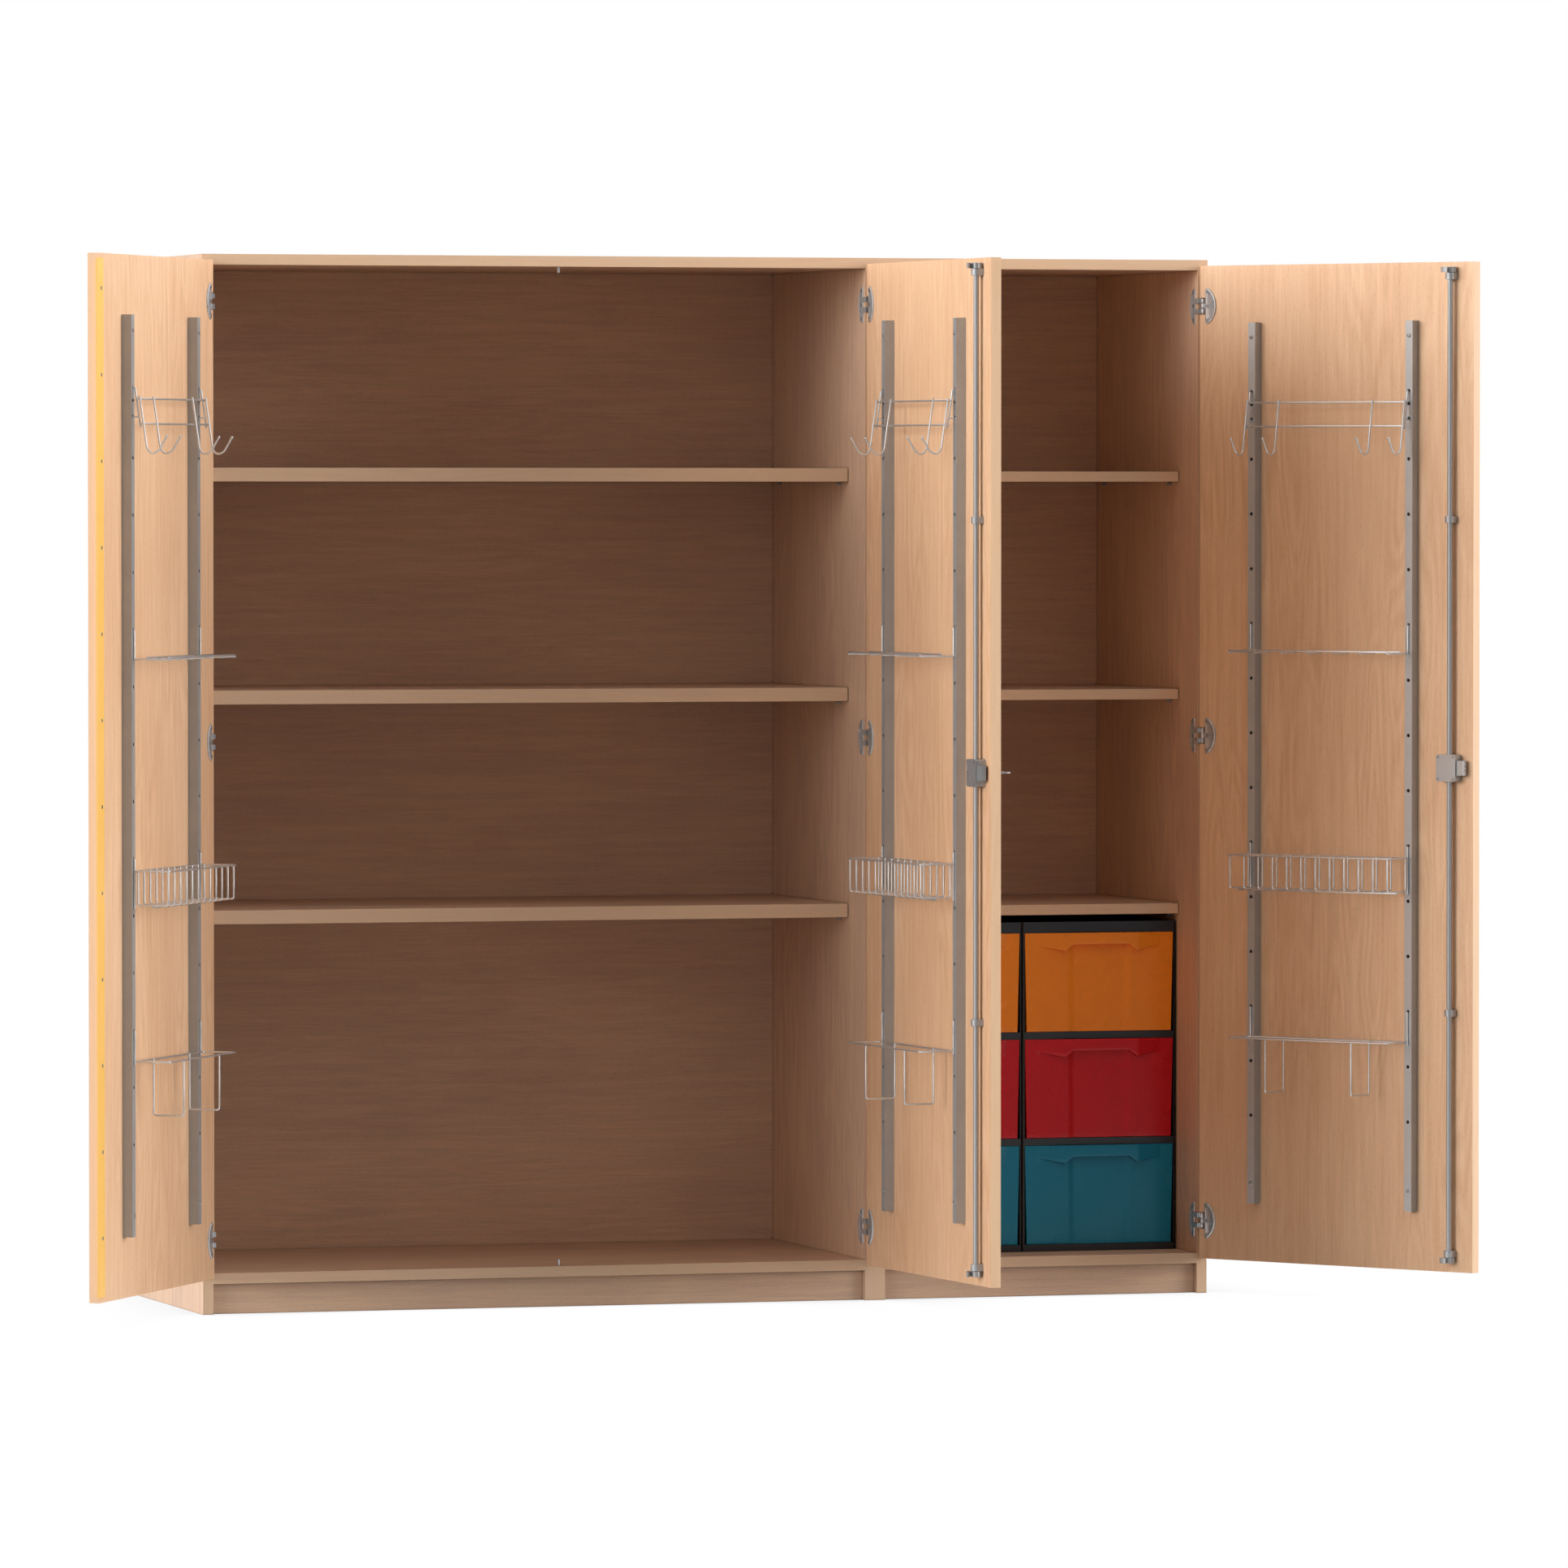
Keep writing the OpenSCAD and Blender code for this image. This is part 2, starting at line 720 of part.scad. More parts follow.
module holder() {
    rim = holder_z - 55;
    low = holder_z - 153;
    back = before_web + weld;
    color(bright_steel) {
        for (u = rail_us)
            rack_end(u, holder_z, rim - 6);
        closed_wire([[rail_us[0] - wire_r, back, rim], [rail_us[1] + wire_r, back, rim],
            [rail_us[1] + wire_r, rack_reach, rim], [rail_us[0] - wire_r, rack_reach, rim]]);
        for (u = [door_w / 2 - 97, door_w / 2 + 97])
            bent_wire([[u, back + weld, rim + wire_r], [u, back + weld, low],
                [u, rack_reach - weld, low], [u, rack_reach - weld, rim + wire_r]]);
    }
}

module closing_lip() {
    on_left_door() color(lip_yellow) difference() {
        translate([door_w + lip_reach - lip_w, 0, lip_low]) cube([lip_w, lip_t, free_h - 0.7 - lip_low]);
        lip_screws(fit_gap);
    }
}

// Locks
module lock_case() {
    z0 = lock_z - case_h / 2;
    color(steel) difference() {
        union() {
            translate([case_u, case_v, z0]) rotate([90, 0, 0])
                linear_extrude(height = case_v) round_rect(case_w, case_h, 4);
            inward(rod_u, -board_t - 1, lock_z) cylinder(r = 9, h = board_t + 2);
            inward(rod_u, -board_t - 3, lock_z) cylinder(r = 15, h = 3);
        }
        translate([rod_u, rod_v, z0 - 1]) cylinder(r = rod_r + 0.3, h = case_h + 2);
        translate([rod_u, 4.7, lock_z - bolt_h / 2 - 0.3]) cube([case_w, 12.6, bolt_h + 0.6]);
        translate([case_u + 4, 2.1, lock_z - 6.8]) cube([case_w, 2.8, 13.6]);
        inward(rod_u, -board_t - 4, lock_z) cylinder(r = 2.2 + fit_gap, h = board_t + 5.6);
        lock_screws(fit_gap);
    }
}

module rod_guides() {
    color(bright_steel)
        for (z = guide_zs)
            difference() {
                union() {
                    translate([rod_u, rod_v, z]) cylinder(r = guide_w / 2, h = guide_h);
                    translate([rod_u - guide_w / 2, 0, z]) cube([guide_w, rod_v, guide_h]);
                    inward(rod_u, -10, z + guide_h / 2) cylinder(r = 4, h = 11);
                }
                translate([rod_u, rod_v, z - 1]) cylinder(r = rod_r + fit_gap, h = guide_h + 2);
            }
}

// claw that turns behind a strike pin: ring, lobe, web and round finger
module claw() {
    linear_extrude(height = hook_h) {
        circle(r = 7.5);
        translate([6.6, -3.8]) circle(r = 3.1);
        polygon([[0, 0], [17 * cos(138), 17 * sin(138)], [17 * cos(150), 17 * sin(150)], [-6, -2]]);
        intersection() {
            difference() {
                circle(r = 17);
                circle(r = 14.2);
            }
            polygon([[0, 0], [30 * cos(75), 30 * sin(75)], [30 * cos(110), 30 * sin(110)],
                [30 * cos(150), 30 * sin(150)]]);
        }
    }
}

module lock_rod() {
    color(bright_steel) translate([rod_u, rod_v, 0]) {
        translate([0, 0, rod_low]) cylinder(r = rod_r, h = rod_high - rod_low);
        translate([0, 0, rod_low]) claw();
        translate([0, 0, rod_high - hook_h]) claw();
    }
}

module lock_bolt() {
    color(bright_steel) {
        translate([bolt_tail, 5, lock_z - bolt_h / 2]) cube([bolt_tip - bolt_tail, 12, bolt_h]);
        translate([case_u + 5, 2.4, lock_z - 6.5]) cube([bolt_tail - case_u + 3, 2.2, 13]);
        translate([bolt_tail, 2.4, lock_z - 6.5]) cube([4, 4, 13]);
    }
}

module lock_key() {
    color(bright_steel) {
        inward(rod_u, -43, lock_z) cylinder(r = 2.2, h = 44.2);
        inward(rod_u, -board_t - 6.4, lock_z) cylinder(r = 4, h = 3);
        difference() {
            translate([rod_u, -43, lock_z - 1.25]) cylinder(r = 11, h = 2.5);
            translate([rod_u, -48, lock_z - 2]) cylinder(r = 3, h = 4);
        }
    }
}

// Drawer stacks
module housing_plan(inset = 0) {
    r = 5;
    translate([inset, r]) square([housing_w - 2 * inset, housing_d - r - inset]);
    translate([r, inset]) square([housing_w - 2 * r, r]);
    translate([r, r]) circle(r = r - inset);
    translate([housing_w - r, r]) circle(r = r - inset);
}

module housing() {
    difference() {
        linear_extrude(height = housing_h) housing_plan();
        translate([stack_side, -1, band_h])
            cube([housing_w - 2 * stack_side, housing_d - stack_back + 1, housing_h]);
        translate([stack_side, 3, -1])
            cube([housing_w - 2 * stack_side, housing_d - stack_back - 3, band_h - 2]);
    }
}

module stack_cover() {
    difference() {
        linear_extrude(height = cover_h) housing_plan();
        translate([stack_side, 3, -1])
            cube([housing_w - 2 * stack_side, housing_d - stack_back - 3, cover_h - 2]);
    }
}

module housing_stack(column) {
    in_carcass() color(black_plastic)
        translate([stack_x[column], housing_front, floor_z]) {
            for (k = [0:2])
                translate([0, 0, k * housing_h]) housing();
            translate([0, 0, 3 * housing_h]) stack_cover();
        }
}

// one drawer, front face at y = 0, housing corner at the origin
module drawer(column, row) {
    w = housing_w - 2 * (stack_side + run_gap);
    h = housing_h - band_h - 2 * run_gap;
    d = housing_d - stack_back - 12;
    s = drawer_wall;
    side_h = h - 28;
    taper = 4;
    in_carcass() color(row_colours[row])
        translate([stack_x[column] + stack_side + run_gap, housing_front,
            floor_z + row * housing_h + band_h + run_gap]) {
            // front wall with a shallow recess in the middle
            difference() {
                union() {
                    translate([0, s + 0.5, 0]) rotate([90, 0, 0]) linear_extrude(height = s + 0.5)
                        polygon([[taper, 0], [w - taper, 0], [w, h], [0, h]]);
                    translate([w * 0.28, 0, 0]) cube([w * 0.44, 4 + s, h - 3]);
                }
                linear_extrude(height = h - 22)
                    polygon([[w * 0.287, -1], [w * 0.287, 0], [w * 0.323, 4], [w * 0.673, 4],
                        [w * 0.713, 0], [w * 0.713, -1]]);
            }
            // handle lip
            intersection() {
                linear_extrude(height = h)
                    polygon([[w * 0.06, 1], [w * 0.26, -grip_reach], [w * 0.755, -grip_reach], [w * 0.93, 1]]);
                translate([0, 2, 0]) rotate([90, 0, 0]) linear_extrude(height = grip_reach + 3)
                    polygon([[0, h - 22], [w * 0.069, h - 22], [w * 0.262, h - 34], [w * 0.32, h - 22],
                        [w * 0.695, h - 22], [w * 0.754, h - 34], [w * 0.923, h - 22], [w, h - 22],
                        [w, h], [0, h]]);
            }
            // tray behind the front
            difference() {
                translate([0, d, 0]) rotate([90, 0, 0]) linear_extrude(height = d - 1)
                    polygon([[taper + 1, 0], [w - taper - 1, 0], [w - 2, side_h], [2, side_h]]);
                translate([0, d - s, 0]) rotate([90, 0, 0]) linear_extrude(height = d - s - 3)
                    polygon([[taper + 1 + s, s], [w - taper - 1 - s, s], [w - 2 - s, side_h + 1],
                        [2 + s, side_h + 1]]);
            }
        }
}

left_side();
right_side();
middle_wall();
top_panel();
wide_bottom();
narrow_bottom();
back_panel();
wide_plinth();
narrow_plinth();
wide_shelves();
narrow_shelves();
shelf_pins();
dowels();
hinge_plates();
hinge_pins();
carcass_screws();
strike_pins();
housing_stack(0);  // left_housings
housing_stack(1);  // right_housings
on_left_door() door_board(true, false);  // left_door
closing_lip();
on_left_door() hinge_leaves();  // left_hinge_leaves
on_left_door() rails();  // left_rails
on_left_door() door_screws(true, false);  // left_door_screws
on_left_door() hook_rack();  // left_hook_rack
on_left_door() tray();  // left_tray
on_left_door() basket();  // left_basket
on_left_door() holder();  // left_holder
on_middle_door() door_board(false, true);  // middle_door
on_middle_door() hinge_leaves();  // middle_hinge_leaves
on_middle_door() rails();  // middle_rails
on_middle_door() door_screws(false, true);  // middle_door_screws
on_middle_door() lock_case();  // middle_lock_case
on_middle_door() rod_guides();  // middle_rod_guides
on_middle_door() hook_rack();  // middle_hook_rack
on_middle_door() tray();  // middle_tray
on_middle_door() basket();  // middle_basket
on_middle_door() holder();  // middle_holder
on_middle_door() lock_key();  // middle_key
on_middle_door() lock_rod();  // middle_rod
on_middle_door() lock_bolt();  // middle_bolt
on_right_door() door_board(false, true);  // right_door
on_right_door() hinge_leaves();  // right_hinge_leaves
on_right_door() rails();  // right_rails
on_right_door() door_screws(false, true);  // right_door_screws
on_right_door() lock_case();  // right_lock_case
on_right_door() rod_guides();  // right_rod_guides
on_right_door() hook_rack();  // right_hook_rack
on_right_door() tray();  // right_tray
on_right_door() basket();  // right_basket
on_right_door() holder();  // right_holder
on_right_door() lock_key();  // right_key
on_right_door() lock_rod();  // right_rod
on_right_door() lock_bolt();  // right_bolt
drawer(0, 0);  // low_left_drawer
drawer(1, 0);  // low_right_drawer
drawer(0, 1);  // mid_left_drawer
drawer(1, 1);  // mid_right_drawer
drawer(0, 2);  // top_left_drawer
drawer(1, 2);  // top_right_drawer
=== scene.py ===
"""Looks of the lockable storage cabinet: beech decor boards, steel fittings, wire racks, drawers and the stage."""
import math
import bmesh
import bpy
from mathutils import Matrix, Vector


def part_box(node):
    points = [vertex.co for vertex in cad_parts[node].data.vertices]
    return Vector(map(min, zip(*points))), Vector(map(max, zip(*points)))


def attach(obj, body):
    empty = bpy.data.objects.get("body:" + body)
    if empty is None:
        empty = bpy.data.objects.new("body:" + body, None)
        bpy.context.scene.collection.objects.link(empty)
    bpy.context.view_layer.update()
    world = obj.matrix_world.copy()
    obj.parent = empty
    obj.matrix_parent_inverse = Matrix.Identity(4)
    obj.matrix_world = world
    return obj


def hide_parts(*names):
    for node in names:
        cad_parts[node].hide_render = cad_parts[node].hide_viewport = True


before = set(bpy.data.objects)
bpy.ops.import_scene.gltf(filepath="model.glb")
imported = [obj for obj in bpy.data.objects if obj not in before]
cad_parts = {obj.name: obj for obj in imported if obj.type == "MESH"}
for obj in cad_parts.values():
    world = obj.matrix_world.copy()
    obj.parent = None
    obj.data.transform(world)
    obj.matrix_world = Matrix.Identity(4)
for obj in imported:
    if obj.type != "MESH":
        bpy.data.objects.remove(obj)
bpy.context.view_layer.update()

bl_info = {
    "name": "Lockable storage cabinet",
    "version": (1, 0, 0),
    "blender": (4, 5, 0),
    "location": "3D View > Sidebar > Cabinet",
    "description": "Builds the wire racks, finishes and studio stage of the lockable storage cabinet",
    "category": "Object",
}

MM = 0.001
WHITE = (1.0, 1.0, 1.0, 1.0)


# places, the same values as in the part's source, in millimetres
BODY_W = 1900.0
FRONT_Y = 24.5
DOOR_W = 619.5
PIVOT_U = 1.5
PIVOT_V = -7.6
PIVOT_Y = -8.0
# doors: place of the hinge axis, angle at rest, and -1 where the door is mirrored
DOORS = {"left": (11.0, -122.6, 1.0), "middle": (1250.0, 93.57, -1.0), "right": (1889.0, 123.7, -1.0)}
RAILS = (132.0, 488.0)
HINGES = (1815.0, 1027.0, 135.0)
# walls with hinges and the side to which these look
HINGE_WALLS = ((19.0, 1), (1242.0, -1), (1881.0, -1))
# hinge plates: inset on the wall and on the door, thickness, inset and heights of the screws
PLATE_V = 12.0
LEAF_U = 12.5
PLATE_T = 3.0
PLATE_SCREW = 6.5
PLATE_SCREWS = (-26.0, 0.0, 26.0)
# half height of a door's knuckle, and the two knuckles of the carcass above and below it
LEAF_HALF = 4.7
KNUCKLES = ((5.0, 14.0), (-14.0, -5.0))
# other screws: heights on the rails, places on the lip, the lock cases and the back panel
RAIL_SCREWS = (1757.0, 209.5)
LIP_SCREWS = [(611.2, 1827.6 - 150.0 * k) for k in range(12)]
CASE_SCREWS = [(u, z) for u in (556.0, 589.0) for z in (956.5, 996.5)]
BACK_SCREWS = ([(1261.0, z) for z in (200.0, 600.0, 1000.0, 1400.0, 1800.0)]
               + [(x, 64.5) for x in (79.0, 630.5, 1182.0, 1340.0, 1821.0)])
ROD_U = 575.0
ROD_V = 11.0
RACK_REACH = 85.0
WIRE_R = 1.7
WELD = 3.15
BEHIND_WEB = 14.7
BEFORE_WEB = 19.8
HOLE_SIT = 1.45
HOOK_Z = 1657.0
TRAY_Z = 1234.0
BASKET_Z = 834.0
HOLDER_Z = 534.0

# the fitted camera of the photo, in metres and degrees in the row frame
CAMERA_PLACE = (-5.67324, -19.2698, 1.47697)
CAMERA_TURN = 16.8
CAMERA_DIP = 1.52

# soft lights round the object: azimuth (0 is in front) and elevation in degrees, half widths of the full and of the
# faded part in degrees, and strength
SOFT_LIGHTS = ((-64, 5, 10, 30, 1.6), (64, 5, 8, 28, 5.5), (-84, 3, 10, 30, 7.4), (84, 3, 8, 28, 3.3),
               (64, 42, 12, 34, 0.45), (-84, 42, 12, 34, 0.1), (84, 42, 12, 34, 0.35), (0, 12, 10, 32, 0.16),
               (35, 12, 10, 32, 0.13), (0, 45, 12, 36, 0.33), (0, 90, 30, 60, 0.2), (180, 30, 40, 75, 0.6))


def linear(hex_colour):
    """An sRGB hex colour as linear RGBA."""
    parts = [int(hex_colour[i:i + 2], 16) / 255 for i in (1, 3, 5)]
    return tuple(c / 12.92 if c <= 0.04045 else ((c + 0.055) / 1.055) ** 2.4 for c in parts) + (1.0,)


def shaded(colour, amount):
    """A colour with its channels times the amount."""
    return tuple(c * amount for c in colour[:3]) + (1.0,)


def in_row(x, y, z):
    """Carcass millimetres (x from the left side, y from the front, z up) to metres in the row frame."""
    return Vector((x - BODY_W / 2, y - FRONT_Y, z)) * MM


def carcass_matrix():
    """Turns carcass millimetres into metres in the row frame."""
    return Matrix.Translation(in_row(0, 0, 0)) @ Matrix.Scale(MM, 4)


def door_matrix(door):
    """Turns door millimetres (along the door, inward, up) into metres in the row frame."""
    pivot, angle, side = DOORS[door]
    return (Matrix.Translation(in_row(pivot, PIVOT_Y, 0.0))
            @ Matrix.Rotation(math.radians(angle), 4, "Z") @ Matrix.Diagonal((side, 1.0, 1.0, 1.0))
            @ Matrix.Translation(Vector((-PIVOT_U, -PIVOT_V, 0.0)) * MM) @ Matrix.Scale(MM, 4))


def door_facing(door):
    """Direction in which the inner face of a door looks."""
    return (door_matrix(door).to_3x3() @ Vector((0, 1, 0))).normalized()


# node materials

def add_node(tree, kind, values=None, links=None, **settings):
    """Adds a node with its settings, the values of its sockets and the links into them."""
    node = tree.nodes.new(kind)
    for name, value in settings.items():
        setattr(node, name, value)
    for name, value in (values or {}).items():
        node.inputs[name].default_value = value
    for name, source in (links or {}).items():
        tree.links.new(source, node.inputs[name])
    return node


def new_material(name):
    """An empty node material with its output node."""
    material = bpy.data.materials.new(name)
    material.use_nodes = True
    material.node_tree.nodes.clear()
    return material, material.node_tree


def finish_material(material, shader):
    """Links the shader to the material's output."""
    add_node(material.node_tree, "ShaderNodeOutputMaterial", links={"Surface": shader})
    return material


def add_map(tree, source, low, high, new_low, new_high, smooth=True):
    """Moves a value from one range to another."""
    node = add_node(tree, "ShaderNodeMapRange",
                    {"From Min": low, "From Max": high, "To Min": new_low, "To Max": new_high},
                    {"Value": source}, interpolation_type="SMOOTHSTEP" if smooth else "LINEAR")
    return node.outputs["Result"]


def add_math(tree, operation, first, second=None):
    """One sum, product or other operation on one or two values."""
    node = add_node(tree, "ShaderNodeMath", operation=operation)
    for socket, value in zip(node.inputs, (first, second)):
        if isinstance(value, (int, float)):
            socket.default_value = value
        elif value is not None:
            tree.links.new(value, socket)
    return node.outputs[0]


def stretched_noise(tree, place, across, along, grain, detail, rough, shift):
    """Noise whose features are `across` mm wide and `along` mm long in the grain's direction."""
    scale = [1000.0 / across] * 3
    scale[grain] = 1000.0 / along
    stretch = add_node(tree, "ShaderNodeMapping", {"Scale": scale, "Location": (shift, shift * 0.7, shift * 0.4)},
                       {"Vector": place})
    noise = add_node(tree, "ShaderNodeTexNoise", {"Scale": 1.0, "Detail": detail, "Roughness": rough},
                     {"Vector": stretch.outputs["Vector"]})
    return noise.outputs["Fac"]


def beech_decor(name, grain, facing, light, dark, figure_width, figure_depth, shift):
    """Melamine-faced chipboard with a printed beech decor: even honey colour with a soft pointed figure,
    fine pinkish streaks and short flecks along the grain, a satin face, plain edge bands with a painted highlight,
    and painted shade in the joints and close behind nearby parts."""
    material, tree = new_material(name)
    coords = add_node(tree, "ShaderNodeTexCoord")
    place = coords.outputs["Object"]

    def layer(across, along, detail, rough, seed, low, high, amount):
        field = stretched_noise(tree, place, across, along, grain, detail, rough, shift + seed)
        return add_map(tree, field, low, high, -amount / 2, amount / 2)

    # the printed figure: level lines of one slow stretched field give the long pointed arches of plain-sawn beech
    slow = stretched_noise(tree, place, figure_width * 4.0, figure_width * 26.0, grain, 1.0, 0.4, shift)
    arches = add_math(tree, "SINE", add_math(tree, "MULTIPLY", slow, 62.0))
    # the figure comes and goes over the board
    areas = stretched_noise(tree, place, 150.0, 420.0, grain, 1.0, 0.5, shift + 9.0)
    patches = add_map(tree, areas, 0.35, 0.65, 0.02 * figure_depth, 0.15 * figure_depth)
    broad = layer(190.0, 520.0, 2.0, 0.5, 4.0, 0.3, 0.7, 0.26)
    streaks = layer(11.0, 260.0, 2.0, 0.5, 2.0, 0.3, 0.7, 0.24)
    fine = layer(2.4, 90.0, 2.0, 0.6, 7.0, 0.25, 0.75, 0.3)
    # ray flecks of 0.3 mm are drawn 1.5 mm wide, so that they show
    flecks = add_map(tree, stretched_noise(tree, place, 1.5, 9.0, grain, 1.0, 0.5, shift + 6.0), 0.55, 0.7, 0.0, 0.26)
    tone = add_math(tree, "MULTIPLY", arches, patches)
    for part in (broad, streaks, fine, flecks):
        tone = add_math(tree, "ADD", tone, part)
    # edge bands are plainer than the faces, and a little paler: a painted highlight on the edges
    along_face = add_node(tree, "ShaderNodeVectorMath", {1: tuple(facing)}, {0: coords.outputs["Normal"]},
                          operation="DOT_PRODUCT")
    face = add_map(tree, add_math(tree, "ABSOLUTE", along_face.outputs["Value"]), 0.75, 0.95, 0.0, 1.0)
    tone = add_math(tree, "MULTIPLY", tone, add_map(tree, face, 0.0, 1.0, 0.4, 1.0, False))
    tone = add_math(tree, "ADD", tone, add_map(tree, face, 0.0, 1.0, 0.0, 0.42, False))
    tone = add_node(tree, "ShaderNodeClamp", links={"Value": tone}).outputs["Result"]
    colour = add_node(tree, "ShaderNodeMix", {"A": light, "B": dark}, {"Factor": tone},
                      data_type="RGBA").outputs["Result"]
    # some streaks are pinker than the rest
    pink = add_map(tree, stretched_noise(tree, place, 9.0, 130.0, grain, 2.0, 0.5, shift + 12.0), 0.5, 0.7, 0.0, 0.5)
    blush = add_node(tree, "ShaderNodeMix", {"B": (1.02, 0.96, 0.94, 1.0)}, {"Factor": pink, "A": colour},
                     data_type="RGBA", blend_type="MULTIPLY", clamp_result=False).outputs["Result"]
    # painted shade: an ambient-occlusion node darkens the wood in the joints between boards and close behind nearby
    # parts
    painted_crevice_shade = add_node(tree, "ShaderNodeAmbientOcclusion", {"Distance": 0.0075}, samples=8).outputs["AO"]
    painted_crevice_shade = add_map(tree, painted_crevice_shade, 0.35, 0.8, 0.55, 1.0)
    colour = add_node(tree, "ShaderNodeVectorMath", links={0: blush, "Scale": painted_crevice_shade},
                      operation="SCALE").outputs["Vector"]
    bump = add_node(tree, "ShaderNodeBump", {"Strength": 0.35, "Distance": 0.00005},
                    {"Height": add_math(tree, "ADD", flecks, fine)}, invert=True)
    shader = add_node(tree, "ShaderNodeBsdfPrincipled", {"IOR": 1.5, "Metallic": 0.0, "Specular IOR Level": 0.35},
                      {"Base Color": colour, "Normal": bump.outputs["Normal"],
                       "Roughness": add_map(tree, fine, -0.25, 0.25, 0.44, 0.56)})
    return finish_material(material, shader.outputs["BSDF"])


def speckled(name, base, worn, speckle, roughness, metallic, bump=0.00004, ior=None, shine=0.5):
    """A metal or plastic surface with a fine even speckle of the given size in mm."""
    material, tree = new_material(name)
    place = add_node(tree, "ShaderNodeTexCoord").outputs["Object"]
    fine = add_node(tree, "ShaderNodeTexNoise", {"Scale": 1000.0 / speckle, "Detail": 2.0, "Roughness": 0.6},
                    {"Vector": place}).outputs["Fac"]
    broad = add_node(tree, "ShaderNodeTexNoise", {"Scale": 14.0, "Detail": 3.0, "Roughness": 0.55},
                     {"Vector": place}).outputs["Fac"]
    mix = add_math(tree, "ADD", add_map(tree, fine, 0.3, 0.7, 0.0, 0.6), add_map(tree, broad, 0.3, 0.7, 0.0, 0.4))
    colour = add_node(tree, "ShaderNodeMix", {"A": base, "B": worn}, {"Factor": mix}, data_type="RGBA")
    relief = add_node(tree, "ShaderNodeBump", {"Strength": 0.5, "Distance": bump}, {"Height": fine})
    values = {"Metallic": metallic, "Specular IOR Level": shine}
    if ior:
        values["IOR"] = ior
    shader = add_node(tree, "ShaderNodeBsdfPrincipled", values,
                      {"Base Color": colour.outputs["Result"], "Normal": relief.outputs["Normal"],
                       "Roughness": add_map(tree, broad, 0.3, 0.7, roughness - 0.05, roughness + 0.05)})
    return finish_material(material, shader.outputs["BSDF"])


# meshes

def turns(sides):
    """Angles of the corners of a regular polygon."""
    return [2 * math.pi * k / sides for k in range(sides)]


def add_arc(mesh, turn, radius, height, angles):
    """Vertices at the angles round the z axis."""
    return [mesh.verts.new(turn @ Vector((radius * math.cos(a), radius * math.sin(a), height))) for a in angles]


def join_rings(mesh, low, high):
    """Joins two rings of equally many vertices with a band of faces."""
    for k in range(len(low)):
        j = (k + 1) % len(low)
        mesh.faces.new((low[k], low[j], high[j], high[k]))


def close_rings(mesh, rings):
    """Joins the rings one after another and closes both ends."""
    for low, high in zip(rings, rings[1:]):
        join_rings(mesh, low, high)
    mesh.faces.new(rings[0][::-1])
    mesh.faces.new(rings[-1])


def round_bends(points, radius, closed=False):
    """A path whose corners are arcs of the bending radius."""
    # smallest bend, largest share of a side that a bend takes, and angle of one step
    straight, share, arc = 0.02, 0.45, 0.3
    points = [Vector(p) for p in points]
    path = []
    for i, corner in enumerate(points):
        if not closed and i in (0, len(points) - 1):
            path.append(corner)
            continue
        back = points[i - 1] - corner
        ahead = points[(i + 1) % len(points)] - corner
        turn = math.pi - back.angle(ahead)
        if turn < straight:
            path.append(corner)
            continue
        reach = min(radius * math.tan(turn / 2), share * back.length, share * ahead.length)
        bend = reach / math.tan(turn / 2)
        start = corner + back.normalized() * reach
        end = corner + ahead.normalized() * reach
        centre = corner + (back.normalized() + ahead.normalized()).normalized() * (bend / math.cos(turn / 2))
        axis = (start - centre).cross(end - centre).normalized()
        steps = max(2, math.ceil(turn / arc))
        for k in range(steps + 1):
            path.append(centre + Matrix.Rotation(turn * k / steps, 3, axis) @ (start - centre))
    return path


def add_wire(mesh, path, radius, closed=False, sides=12):
    """Sweeps a round wire along the path; open ends are rounded."""
    count = len(path)
    ways = []
    for i in range(count):
        before = path[i - 1] if closed or i else path[0]
        after = path[(i + 1) % count] if closed or i < count - 1 else path[-1]
        ways.append((after - before).normalized())
    side = ways[0].orthogonal().normalized()
    stations = []
    for i in range(count):
        side = (side - ways[i] * side.dot(ways[i])).normalized()
        stations.append((path[i], ways[i], side.copy(), radius))

    def cap(end, way):
        """The stations of a rounded end: (way along the cap, share of the radius)."""
        return [(end[0] + end[1] * way * radius * (0.6 - 0.6 * a), end[1], end[2], radius * b)
                for a, b in ((0.0, 1.0), (0.5, 0.866), (0.8, 0.6), (0.95, 0.312))]

    if not closed:
        stations = cap(stations[0], 1)[::-1] + stations[1:-1] + cap(stations[-1], -1)
    rings = []
    for place, way, across, size in stations:
        up = way.cross(across)
        rings.append([mesh.verts.new(place + (across * math.cos(a) + up * math.sin(a)) * size) for a in turns(sides)])
    pairs = list(zip(rings, rings[1:])) + ([(rings[-1], rings[0])] if closed else [])
    for low, high in pairs:
        shift = 0
        if closed and low is rings[-1]:
            gaps = [(low[0].co - v.co).length for v in high]
            shift = gaps.index(min(gaps))
        for k in range(sides):
            j = (k + 1) % sides
            mesh.faces.new((low[k], low[j], high[(j + shift) % sides], high[(k + shift) % sides]))
    if not closed:
        mesh.faces.new(rings[0][::-1])
        mesh.faces.new(rings[-1])


def make_object(name, mesh, matrix=None, smooth=True):
    """Turns the mesh being built into a scene object in the row frame."""
    if matrix is not None:
        mesh.transform(matrix)
    bmesh.ops.recalc_face_normals(mesh, faces=mesh.faces)
    data = bpy.data.meshes.new(name)
    mesh.to_mesh(data)
    mesh.free()
    for face in data.polygons:
        face.use_smooth = smooth
    if smooth:
        data.set_sharp_from_angle(angle=math.radians(40))
    piece = bpy.data.objects.new(name, data)
    bpy.context.scene.collection.objects.link(piece)
    return piece


def level(value, low, high):
    """Soft step from 0 to 1 between low and high."""
    part = min(1.0, max(0.0, (value - low) / (high - low)))
    return part * part * (3.0 - 2.0 * part)


